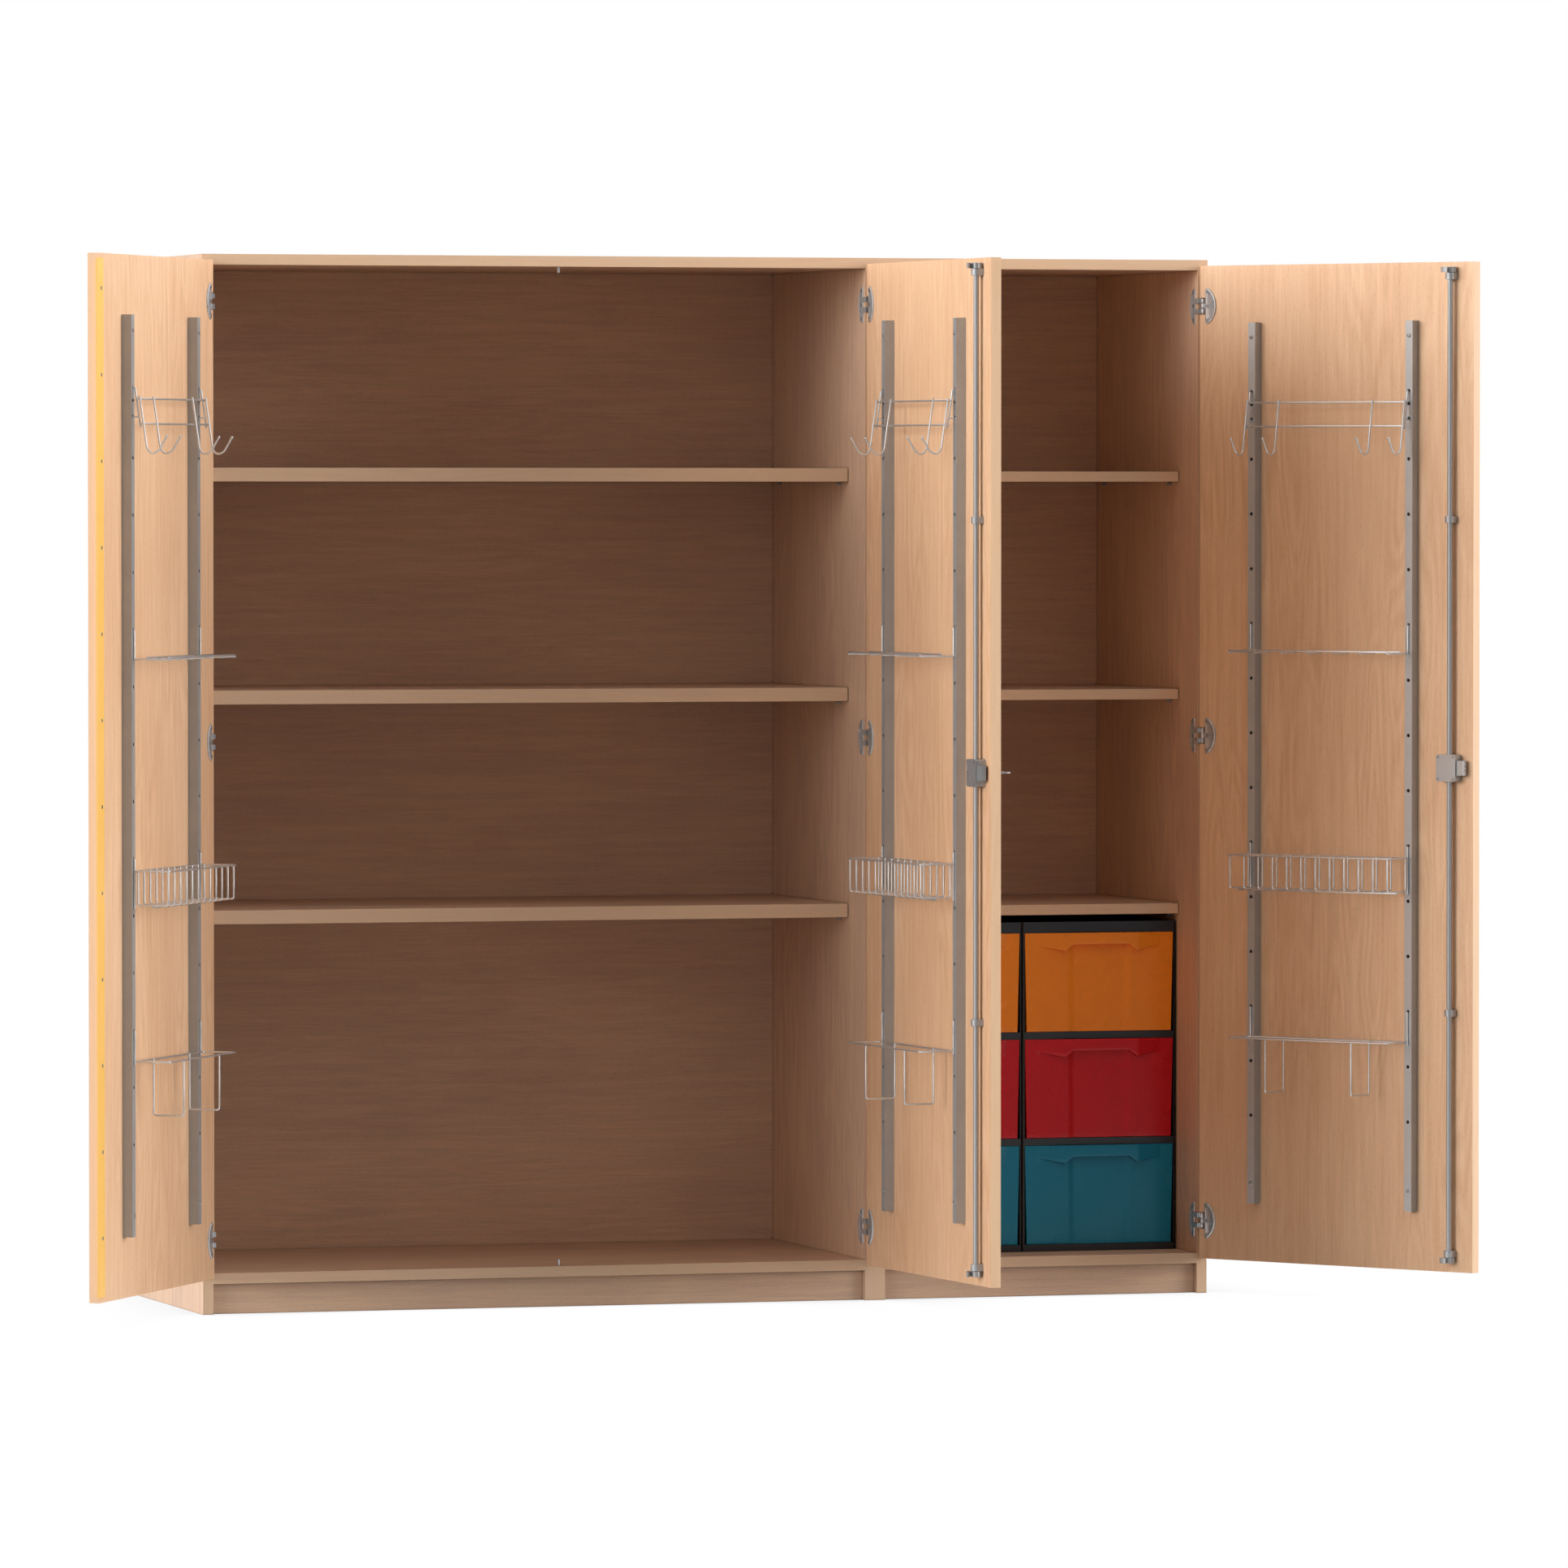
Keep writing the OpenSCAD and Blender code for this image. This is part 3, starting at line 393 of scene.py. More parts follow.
def along_line(value, points):
    """Height of a broken line at the value."""
    for (x0, y0), (x1, y1) in zip(points, points[1:]):
        if value <= x1:
            return y0 + (y1 - y0) * max(0.0, (value - x0) / (x1 - x0))
    return points[-1][1]


def add_screw(mesh, place, way, length, pan=False):
    """A screw with a cross recess whose head looks along `way`, all in mm."""
    head, core, rise = 3.9, 1.95, 2.0 if pan else 0.0
    turn = Matrix.Translation(Vector(place)) @ Vector((0, 0, 1)).rotation_difference(Vector(way)).to_matrix().to_4x4()
    if pan:
        line = [(core, 0.0), (head, 0.0), (head, 1.1), (head - 0.25, 1.65), (head - 0.9, rise)]
    else:
        line = [(core, -2.2), (head - 0.1, -0.1), (head - 0.2, 0.0)]
    rings = [add_arc(mesh, turn, r, z, turns(24)) for r, z in [(core, -length)] + line]
    mesh.faces.new(rings[0][::-1])
    for low, high in zip(rings, rings[1:]):
        join_rings(mesh, low, high)
    # cross recess: length and half width of its arms, depth and narrowing
    arm, half, deep, narrow = 2.2, 0.55, 1.5, 0.7
    plan = [(arm, -half), (arm, half), (half, half), (half, arm), (-half, arm), (-half, half),
            (-arm, half), (-arm, -half), (-half, -half), (-half, -arm), (half, -arm), (half, -half)]
    brim = [mesh.verts.new(turn @ Vector((x, y, rise))) for x, y in plan]
    foot = [mesh.verts.new(turn @ Vector((x * narrow, y * narrow, rise - deep))) for x, y in plan]
    join_rings(mesh, brim, foot)
    mesh.faces.new(foot)
    top = rings[-1]
    loop = [next(e for e in row[k].link_edges if e.other_vert(row[k]) is row[k - 1])
            for row in (top, brim) for k in range(len(row))]
    bmesh.ops.triangle_fill(mesh, use_beauty=True, use_dissolve=False, edges=loop)


def add_half_moon(mesh, turn):
    """A cast half-moon plate in mm: straight side on x = 0, arc with a thick rounded rim towards +x, face to +z."""
    width, half_length, corner = 25.0, 36.0, 4.9
    radius = (width ** 2 + half_length ** 2) / (2 * width)
    hub = width - radius
    rise = math.sqrt((radius - corner) ** 2 - (corner - hub) ** 2)
    lean = math.atan2(rise, corner - hub)
    # the outline moved inwards ring by ring: (distance from the outline, height at the rim, height at the flat side)
    rings = []
    for inset, thick, thin in ((0.0, 0.0, 0.0), (0.0, 1.2, 0.9), (0.15, 1.9, 1.3), (0.5, 2.5, 1.6), (1.0, 2.85, 1.75),
                               (1.6, 3.0, 1.8), (2.6, 2.95, 1.8), (3.4, 2.65, 1.8), (4.1, 2.15, 1.8), (4.6, 1.8, 1.8)):
        plan = [(corner + (corner - inset) * math.cos(a), rise + (corner - inset) * math.sin(a))
                for a in (math.pi + (lean - math.pi) * k / 8 for k in range(8))]
        plan += [(hub + (radius - inset) * math.cos(a), (radius - inset) * math.sin(a))
                 for a in (lean - 2 * lean * k / 32 for k in range(33))]
        plan += [(x, -y) for x, y in plan[7::-1]]
        rings.append([mesh.verts.new(turn @ Vector((x, y, thin + (thick - thin) * level(x, 0.5, 9.0))))
                      for x, y in plan])
    close_rings(mesh, rings)


def add_bush(mesh, turn, low, high):
    """A bored knuckle round the z axis in mm with rounded rims."""
    bore, radius = 2.05, 4.5
    line = [(bore, low), (radius - 0.8, low), (radius - 0.25, low + 0.25), (radius, low + 0.8),
            (radius, high - 0.8), (radius - 0.25, high - 0.25), (radius - 0.8, high), (bore, high)]
    rings = [add_arc(mesh, turn, r, z, turns(32)) for r, z in line]
    for inner, outer in zip(rings, rings[1:] + rings[:1]):
        join_rings(mesh, inner, outer)


def add_bar(mesh, turn, plan, low, high):
    """An upright bar over a convex plan in mm with rounded ends."""
    edge = 0.5
    middle = Vector((sum(x for x, _ in plan), sum(y for _, y in plan))) / len(plan)
    rings = []
    for z, inset in ((low, edge), (low + edge, 0.0), (high - edge, 0.0), (high, edge)):
        rings.append([mesh.verts.new(turn @ Vector((x - math.copysign(min(inset, abs(x - middle.x)), x - middle.x),
                                                    y - math.copysign(min(inset, abs(y - middle.y)), y - middle.y), z)))
                      for x, y in plan])
    close_rings(mesh, rings)


def end_wire(low, top):
    """The end wire of a rack: behind the rail, through its hole and down in front of it."""
    sit = top - HOLE_SIT
    return [(BEHIND_WEB, sit - 12), (BEHIND_WEB, sit), (BEFORE_WEB, sit), (BEFORE_WEB, low)]


def mount(name, mesh, matrix, material, body, node):
    """Puts a finished mesh on its body in place of the CAD node."""
    piece = make_object(name, mesh, matrix)
    piece.data.materials.append(material)
    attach(piece, body)
    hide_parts(node)


def set_finish(node, material):
    """Gives a CAD node one material in all its slots."""
    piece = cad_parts[node]
    if not piece.data.materials:
        piece.data.materials.append(material)
    for slot in piece.material_slots:
        slot.material = material


def soften(node, width, segments=2):
    """Welds a CAD node's facets into whole faces and rounds its sharp edges by the given width in mm."""
    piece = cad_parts[node]
    weld = piece.modifiers.new("weld", "WELD")
    weld.merge_threshold = 0.000005
    whole = piece.modifiers.new("whole faces", "DECIMATE")
    whole.decimate_type = "DISSOLVE"
    whole.angle_limit = math.radians(0.4)
    bevel = piece.modifiers.new("soft edge", "BEVEL")
    bevel.width = width * MM
    bevel.segments = segments
    bevel.limit_method = "ANGLE"
    bevel.angle_limit = math.radians(35.0)
    bevel.miter_outer = "MITER_ARC"
    flat = piece.modifiers.new("flat faces", "WEIGHTED_NORMAL")
    flat.weight = 100
    flat.keep_sharp = True


def settings():
    """The add-on's settings of this scene."""
    return bpy.context.scene.cabinet


def colour_field(name, description, default):
    """A colour setting, given as sRGB hex."""
    return bpy.props.FloatVectorProperty(name=name, description=description, subtype="COLOR", size=4,
                                         min=0.0, max=1.0, default=linear(default))


class CabinetBoardSettings(bpy.types.PropertyGroup):
    """Colours and grain of the boards"""
    light: colour_field("Light beech", "Colour of the carcass decor between the grain lines", "#DFBC9B")
    dark: colour_field("Dark beech", "Colour of the carcass decor's grain lines", "#BD9A87")
    door_light: colour_field("Light door beech", "Colour of the doors' decor between the grain lines", "#E9C29D")
    door_dark: colour_field("Dark door beech", "Colour of the doors' grain lines", "#CF9F79")
    figure: bpy.props.FloatProperty(name="Figure width", description="Width of one arch of the grain", default=16.0,
                                    min=4.0, max=60.0, unit="NONE")
    edge: bpy.props.FloatProperty(name="Edge rounding", description="Rounding of the board edges in mm", default=0.9,
                                  min=0.2, max=2.0)
    lip: colour_field("Closing lip", "Colour of the moulded edge profile on the left door", "#F3BE62")


class CabinetMetalSettings(bpy.types.PropertyGroup):
    """Finishes of the steel and zinc pieces"""
    rail: colour_field("Rail steel", "Colour of the slotted rails", "#B3B4B5")
    nickel: colour_field("Nickel", "Colour of lock cases and guides", "#A9AAAC")
    hinge: colour_field("Hinges", "Colour of the hinge castings", "#CDCED0")
    rod: colour_field("Lock rods", "Colour of the turning rods", "#A5A5A5")
    wire: colour_field("Wire", "Colour of the plated rack wire", "#DCDCDC")
    bend: bpy.props.FloatProperty(name="Bending radius", description="Inner radius of the wire bends in mm",
                                  default=5.0, min=2.0, max=12.0)


class CabinetPlasticSettings(bpy.types.PropertyGroup):
    """Colours of the drawer stacks"""
    housing: colour_field("Housing", "Colour of the black drawer housings", "#17171A")
    teal: colour_field("Low drawers", "Colour of the low drawers", "#0F7D9C")
    red: colour_field("Middle drawers", "Colour of the middle drawers", "#CC121F")
    orange: colour_field("Upper drawers", "Colour of the upper drawers", "#FF9022")
    grip: bpy.props.FloatProperty(name="Handle reach", description="Reach of the handle lip in mm", default=9.0,
                                  min=4.0, max=9.0)


class CabinetStageSettings(bpy.types.PropertyGroup):
    """Lights, floor and camera"""
    sky: bpy.props.FloatProperty(name="Sky", description="Strength of the soft lights", default=1.38, min=0.0, max=3.0)
    floor: bpy.props.FloatProperty(name="Floor light", description="Pale light that the floor gives the object",
                                   default=0.25, min=0.0, max=1.0)
    room: bpy.props.FloatProperty(name="Room", description="Brightness of the room in front, as shiny surfaces show it",
                                  default=0.35, min=0.0, max=1.0)
    lens: bpy.props.FloatProperty(name="Lens", description="Focal length in mm", default=253.97, min=20.0, max=400.0)


class CabinetSettings(bpy.types.PropertyGroup):
    """All settings of the cabinet"""
    boards: bpy.props.PointerProperty(type=CabinetBoardSettings)
    metal: bpy.props.PointerProperty(type=CabinetMetalSettings)
    plastic: bpy.props.PointerProperty(type=CabinetPlasticSettings)
    stage: bpy.props.PointerProperty(type=CabinetStageSettings)


class CABINET_OT_boards(bpy.types.Operator):
    """Gives the carcass boards, shelves and doors their beech decor"""
    bl_idname = "cabinet.boards"
    bl_label = "Finish boards"

    def execute(self, context):
        board = settings().boards
        light, dark, figure = tuple(board.light), tuple(board.dark), board.figure
        groups = {
            "beech decor upright": (2, (1, 0, 0), ("left_side", "right_side", "middle_wall")),
            "beech decor lying": (0, (0, 0, 1), ("top_panel", "wide_bottom", "narrow_bottom", "wide_shelves",
                                                 "narrow_shelves")),
            "beech decor back": (0, (0, 1, 0), ("back_panel", "wide_plinth", "narrow_plinth")),
        }
        for door in DOORS:
            groups["beech decor " + door + " door"] = (2, door_facing(door), (door + "_door",))
        for k, (name, (grain, facing, nodes)) in enumerate(groups.items()):
            if name.endswith("door"):
                light, dark = tuple(board.door_light), tuple(board.door_dark)
            calm = 0.4 if name.endswith("back") else 1.0
            material = beech_decor(name, grain, facing, light, dark, figure, calm, 3.7 * k)
            for node in nodes:
                set_finish(node, material)
                soften(node, board.edge)
        lip = speckled("moulded ABS lip", tuple(board.lip), tuple(board.lip), 1.2, 0.4, 0.0, ior=1.53)
        set_finish("closing_lip", lip)
        soften("closing_lip", 0.8)
        dowel = speckled("turned beech dowel", dark, light, 2.0, 0.6, 0.0, ior=1.5)
        set_finish("dowels", dowel)
        return {"FINISHED"}


class CABINET_OT_metal(bpy.types.Operator):
    """Finishes the rails, hinges, locks and small steel pieces"""
    bl_idname = "cabinet.metal"
    bl_label = "Finish metal"

    def execute(self, context):
        metal = settings().metal
        rail, nickel = tuple(metal.rail), tuple(metal.nickel)
        # grey-lacquered rolled strip: dull, with a fine grey speckle
        strip = speckled("grey-lacquered steel strip", rail, shaded(rail, 0.82), 1.6, 0.38, 0.45)
        # silver-lacquered zinc casting: even grey with soft bright edges
        cast = speckled("silver-lacquered zinc casting", nickel, shaded(nickel, 0.9), 1.2, 0.3, 0.55)
        # nickel-plated drawn rod: smooth and bright
        drawn = speckled("nickel-plated drawn rod", tuple(metal.rod), shaded(metal.rod, 0.9), 1.0, 0.36, 0.5, 0.000004)
        bright = speckled("turned steel pin", rail, shaded(rail, 0.86), 1.0, 0.3, 0.8)
        for door in DOORS:
            set_finish(door + "_rails", strip)
            soften(door + "_rails", 0.7, 3)
        for door in ("middle", "right"):
            for part, width in (("_lock_case", 2.0), ("_rod_guides", 0.7), ("_bolt", 0.7), ("_key", 0.7)):
                set_finish(door + part, cast)
                soften(door + part, width, 4)
            mesh = bmesh.new()
            self.rod(mesh, Matrix.Translation((ROD_U, ROD_V, 0.0)))
            mount(door + "_lock_rod", mesh, door_matrix(door), drawn, door + "_rod", door + "_rod")
        for node in ("hinge_pins", "strike_pins", "shelf_pins"):
            set_finish(node, bright)
            soften(node, 0.3)
        return {"FINISHED"}

    @staticmethod
    def rod(mesh, turn):
        """A lock rod round the z axis in mm: the long bar with a ring, lobe, web and round finger at each end."""
        low, high, thick = 82.0, 1880.0, 10.0
        inside, outside, steps = 14.2, 17.0, 12
        add_wire(mesh, [turn @ Vector((0, 0, low + (high - low) * k / 60)) for k in range(61)], 4.9, sides=32)
        ring = [(7.5 * math.cos(a), 7.5 * math.sin(a)) for a in turns(32)]
        lobe = [(6.6 + 3.1 * math.cos(a), -3.8 + 3.1 * math.sin(a)) for a in turns(16)]
        web = [(0, 0)] + [(outside * math.cos(a), outside * math.sin(a))
                          for a in (math.radians(138), math.radians(150))] + [(-6, -2)]
        bend = [math.radians(75 + 75 * k / steps) for k in range(steps + 1)]
        for z in (low, high - thick):
            add_bar(mesh, turn, ring, z, z + thick)
            add_bar(mesh, turn, lobe, z, z + thick)
            add_bar(mesh, turn, web, z + 0.3, z + thick - 0.3)
            rows = [add_arc(mesh, turn, r, h, bend)
                    for r, h in ((inside, z), (outside, z), (outside, z + thick), (inside, z + thick))]
            for inner, outer in zip(rows, rows[1:] + rows[:1]):
                for k in range(steps):
                    mesh.faces.new((inner[k], inner[k + 1], outer[k + 1], outer[k]))
            for k in (0, -1):
                mesh.faces.new([row[k] for row in rows])


class CABINET_OT_hinges(bpy.types.Operator):
    """Casts the two halves of the nine hinges"""
    bl_idname = "cabinet.hinges"
    bl_label = "Cast hinges"

    def execute(self, context):
        nickel = tuple(settings().metal.hinge)
        # nickel-plated zinc casting: bright rounded rim, duller floor
        cast = speckled("nickel-plated zinc casting", nickel, shaded(nickel, 0.88), 1.2, 0.26, 0.55, 0.00001)
        for door in DOORS:
            mesh = bmesh.new()
            for z in HINGES:
                # plate: x along the door, y up, thickness inward
                add_half_moon(mesh, Matrix(((1, 0, 0, LEAF_U), (0, 0, 1, 0), (0, 1, 0, z), (0, 0, 0, 1))))
                add_bush(mesh, Matrix.Translation((PIVOT_U, PIVOT_V, z)), -LEAF_HALF, LEAF_HALF)
                tongue = [(4.2, -4.9), (13.8, 1.0), (15.4, 1.5), (15.4, -1.2), (5.4, -6.0)]
                add_bar(mesh, Matrix.Translation((0, 0, z)), tongue, -LEAF_HALF, LEAF_HALF)
            mount(door + "_hinge_halves", mesh, door_matrix(door), cast, door + "_leaf",
                  door + "_hinge_leaves")
        mesh = bmesh.new()
        for wall, side in HINGE_WALLS:
            for z in HINGES:
                flip = Matrix.Translation((wall, 0, z)) @ Matrix.Diagonal((side, 1, 1, 1))
                # plate: thickness off the wall, x into the carcass, y up
                add_half_moon(mesh, flip @ Matrix(((0, 0, 1, 0), (1, 0, 0, PLATE_V), (0, 1, 0, 0), (0, 0, 0, 1))))
                for low, high in KNUCKLES:
                    add_bush(mesh, flip @ Matrix.Translation((-8, PIVOT_Y, 0)), low, high)
                    # strap from the plate to the front and on to the knuckle
                    add_bar(mesh, flip, [(0, -10), (2.5, -10), (2.5, 12.6), (0, 12.6)], low, high)
                    add_bar(mesh, flip, [(-6, -10), (1, -10), (1, -7.5), (-6, -7.5)], low, high)
        mount("carcass_hinge_halves", mesh, carcass_matrix(), cast, "carcass", "hinge_plates")
        return {"FINISHED"}


class CABINET_OT_screws(bpy.types.Operator):
    """Turns the screws of hinges, rails, closing lip, locks and back panel"""
    bl_idname = "cabinet.screws"
    bl_label = "Turn screws"

    def execute(self, context):
        nickel = tuple(settings().metal.nickel)
        # nickel-plated screw steel: bright rim, dark cross recess
        steel = speckled("nickel-plated screw steel", nickel, shaded(nickel, 0.8), 0.8, 0.3, 0.7, 0.00001)
        for door in DOORS:
            mesh = bmesh.new()
            inward = (0, 1, 0)
            for z in HINGES:
                for k in PLATE_SCREWS:
                    add_screw(mesh, (LEAF_U + PLATE_SCREW, PLATE_T, z + k), inward, 16.0)
            for u in RAILS:
                for z in RAIL_SCREWS:
                    add_screw(mesh, (u, 18.0, z), inward, 31.0, pan=True)
            if door == "left":
                for u, z in LIP_SCREWS:
                    add_screw(mesh, (u, 3.5, z), inward, 15.0)
            else:
                for u, z in CASE_SCREWS:
                    add_screw(mesh, (u, 20.0, z), inward, 33.0)
            mount(door + "_door_screw_set", mesh, door_matrix(door), steel, door + "_leaf",
                  door + "_door_screws")
        mesh = bmesh.new()
        for wall, side in HINGE_WALLS:
            for z in HINGES:
                for k in PLATE_SCREWS:
                    add_screw(mesh, (wall + PLATE_T * side, PLATE_V + PLATE_SCREW, z + k), (side, 0, 0), 16.0)
        for x, z in BACK_SCREWS:
            add_screw(mesh, (x, 591.0, z), (0, 1, 0), 30.0)
        mount("carcass_screw_set", mesh, carcass_matrix(), steel, "carcass", "carcass_screws")
        return {"FINISHED"}


class CABINET_OT_racks(bpy.types.Operator):
    """Bends the wire racks of the three doors"""
    bl_idname = "cabinet.racks"
    bl_label = "Bend wire racks"

    def execute(self, context):
        metal = settings().metal
        wire = tuple(metal.wire)
        # chromed drawn wire: bright, almost mirror-like
        chrome = speckled("chromed drawn wire", wire, shaded(wire, 0.88), 1.0, 0.22, 0.68, 0.000004)
        for door in DOORS:
            for kind, build in (("hook_rack", self.hook_rack), ("tray", self.tray), ("basket", self.basket),
                                ("holder", self.holder)):
                mesh = bmesh.new()
                build(mesh, metal.bend)
                mount(door + "_" + kind + "_wire", mesh, door_matrix(door), chrome, door + "_leaf",
                      door + "_" + kind)
        return {"FINISHED"}

    @staticmethod
    def run(mesh, points, bend, closed=False):
        add_wire(mesh, round_bends(points, bend, closed), WIRE_R, closed)

    def hook_rack(self, mesh, bend):
        def slope(z):
            return BEFORE_WEB + 2.2 + (HOOK_Z - z) / 7
        top, foot = HOOK_Z - HOLE_SIT, HOOK_Z - 70.0
        upper, lower = HOOK_Z - 20.0, HOOK_Z - 63.5
        for u in RAILS:
            self.run(mesh, [(u, BEHIND_WEB, top - 12), (u, BEHIND_WEB, top), (u, slope(top), top),
                            (u, slope(foot), foot)], 1.6)
            peg = HOOK_Z - 50.0 - HOLE_SIT
            self.run(mesh, [(u, 10, peg), (u, slope(peg), peg)], bend)
        for z in (upper, lower):
            self.run(mesh, [(RAILS[0] - 2, slope(z) + WELD, z), (RAILS[1] + 2, slope(z) + WELD, z)], bend)
        v = slope(foot - 35) + 2 * WELD
        for u in (RAILS[0], RAILS[0] + 72, RAILS[1] - 72, RAILS[1]):
            self.run(mesh, [(u, slope(upper + 5) + 2 * WELD, upper + 5), (u, v, foot - 35), (u, v + 4.4, foot - 43.5),
                            (u, v + 12.4, foot - 46), (u, v + 22, foot - 41), (u, 80.0, foot - 16)], 14.0)
            ball = bmesh.ops.create_icosphere(mesh, subdivisions=3, radius=WIRE_R + 0.7)
            bmesh.ops.translate(mesh, verts=ball["verts"], vec=(u, 80.0, foot - 16))

    def tray(self, mesh, bend):
        z = TRAY_Z - 52.0
        for u in RAILS:
            up = [(u,) + p for p in end_wire(z, TRAY_Z)]
            self.run(mesh, up[:3] + [(u, BEFORE_WEB, z), (u, RACK_REACH + WIRE_R, z)], 1.6)
        step = (RAILS[1] - RAILS[0]) / 6
        for k in range(1, 6):
            self.run(mesh, [(RAILS[0] + k * step, 40.0, z), (RAILS[0] + k * step, RACK_REACH + WIRE_R, z)], bend)
        for v in (44.0, 84.0):
            self.run(mesh, [(RAILS[0] - WIRE_R, v, z + WELD), (RAILS[1] + WIRE_R, v, z + WELD)], bend)

    def cradle(self, mesh, over, rim, low, places, bend):
        """A closed rim wire that goes `over` past the rails, with a bow down to `low` at each place."""
        left, right, back, front = RAILS[0] - over, RAILS[1] + over, BEFORE_WEB + WELD, RACK_REACH
        self.run(mesh, [(left, back, rim), (right, back, rim), (right, front, rim), (left, front, rim)], bend, True)
        for u in places:
            self.run(mesh, [(u, back + WELD, rim + WIRE_R), (u, back + WELD, low),
                            (u, front - WELD, low), (u, front - WELD, rim + WIRE_R)], bend)

    def basket(self, mesh, bend):
        low = BASKET_Z - 82.0
        for u in RAILS:
            self.run(mesh, [(u,) + p for p in end_wire(low - 6, BASKET_Z)], 1.6)
        step = (RAILS[1] - RAILS[0]) / 11
        self.cradle(mesh, WELD, BASKET_Z - 22.0, low, [RAILS[0] + k * step for k in range(12)], bend)
        middle = (BEFORE_WEB + WELD + RACK_REACH) / 2
        self.run(mesh, [(RAILS[0] - WIRE_R, middle, low - WELD), (RAILS[1] + WIRE_R, middle, low - WELD)], bend)

    def holder(self, mesh, bend):
        rim = HOLDER_Z - 55.0
        for u in RAILS:
            self.run(mesh, [(u,) + p for p in end_wire(rim - 6, HOLDER_Z)], 1.6)
        self.cradle(mesh, WIRE_R, rim, HOLDER_Z - 153.0, (DOOR_W / 2 - 97, DOOR_W / 2 + 97), bend)


class CABINET_OT_drawers(bpy.types.Operator):
    """Finishes the drawer housings and moulds the coloured drawers"""
    bl_idname = "cabinet.drawers"
    bl_label = "Mould drawers"

    def execute(self, context):
        plastic = settings().plastic
        black = tuple(plastic.housing)
        housing = speckled("moulded black polypropylene", black, shaded(black, 1.5), 0.8, 0.38, 0.0, 0.00006, 1.49)
        for node in ("left_housings", "right_housings"):
            set_finish(node, housing)
            soften(node, 0.8)
        rows = {"low": ("teal", plastic.teal), "mid": ("red", plastic.red), "top": ("orange", plastic.orange)}
        for row, (slot, shade) in rows.items():
            shade = tuple(shade)
            material = speckled("moulded polystyrene " + slot, shade, shaded(shade, 0.93), 3.0, 0.27,
                                0.0, 0.00002, 1.5, 0.3)
            for column in ("left", "right"):
                node = row + "_" + column + "_drawer"
                low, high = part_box(node)
                size = (high - low) / MM
                place = Matrix.Translation((low.x, low.y + plastic.grip * MM, low.z)) @ Matrix.Scale(MM, 4)
                front = self.front(node + "_front", size.x, size.z, place, plastic.grip)
                tray = self.tray(node + "_box", size.x, size.y - plastic.grip, size.z, place)
                for piece in (front, tray):
                    piece.data.materials.append(material)
                    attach(piece, node)
                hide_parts(node)
        return {"FINISHED"}

    @staticmethod
    def front(name, w, h, place, grip):
        """The front: a shallow recess in the middle under a handle lip whose lower edge steps down at both ends."""
        taper, round_off, high, deep = 4.0, 1.4, h - 22, h - 34
        edge_line = [(0.0, high), (0.069 * w, high), (0.262 * w, deep), (0.32 * w, high),
                     (0.695 * w, high), (0.754 * w, deep), (0.923 * w, high), (w, high)]
        reach_line = [(0.0, 0.0), (0.08 * w, 0.0), (0.26 * w, grip), (0.755 * w, grip), (0.911 * w, 0.0), (w, 0.0)]
        brim = [0.0, 0.15, 0.45, 0.9, round_off]
        columns = sorted(set(brim + [w - d for d in brim]
                             + [x for x, _ in edge_line[1:-1]] + [x for x, _ in reach_line[1:-1]]
                             + [w * (0.28 + 0.006 * k) for k in range(11)] + [w * (0.66 + 0.006 * k) for k in range(11)]
                             + [w * k / 56 for k in range(1, 56)]))
        steps = [(0.0, 0.0), (0.45, 0.8), (0.9, 0.96), (1.6, 1.0)]
        mesh = bmesh.new()
        sheet = []
        for u in columns:
            reach = max(0.0, along_line(u, reach_line))
            hollow = 3.6 * (level(u, 0.28 * w, 0.34 * w) - level(u, 0.66 * w, 0.72 * w))
            lip = along_line(u, edge_line)
            low_part = brim + [round_off + (lip - 0.3 - round_off) * k / 20 for k in range(1, 21)]
            rows = [(z, 0.0) for z in low_part] + [(lip + z, k) for z, k in steps[1:]]
            rows += [(lip + 1.6 + (h - round_off - lip - 1.6) * k / 5, 1.0) for k in range(1, 6)]
            rows += [(h - d, 1.0) for d in brim[-2::-1]]
            line = []
            for z, part in rows:
                border = max(0.0, round_off - min(u, w - u, z, h - z))
                curve = round_off - math.sqrt(max(0.0, round_off ** 2 - border ** 2))
                side = taper * (1.0 - z / h)
                y = hollow * (1.0 - part) - reach * part + curve
                line.append(mesh.verts.new((side + u / w * (w - 2 * side), y, z)))
            sheet.append(line)
        behind = []
        for i, u in enumerate(columns):
            thick = 3.0 + 3.5 * (level(u, 0.27 * w, 0.29 * w) - level(u, 0.71 * w, 0.73 * w))
            behind.append([mesh.verts.new((sheet[i][k].co.x, thick, (0.0, h)[k])) for k in (0, -1)])
        for left, right in zip(sheet, sheet[1:]):
            for k in range(len(left) - 1):
                mesh.faces.new((left[k], right[k], right[k + 1], left[k + 1]))
        for i in range(len(columns) - 1):
            mesh.faces.new((behind[i][0], behind[i + 1][0], sheet[i + 1][0], sheet[i][0]))
            mesh.faces.new((behind[i][1], behind[i + 1][1], behind[i + 1][0], behind[i][0]))
            mesh.faces.new((sheet[i][-1], sheet[i + 1][-1], behind[i + 1][1], behind[i][1]))
        for i in (0, -1):
            mesh.faces.new(sheet[i] + [behind[i][1], behind[i][0]])
        return make_object(name, mesh, place)

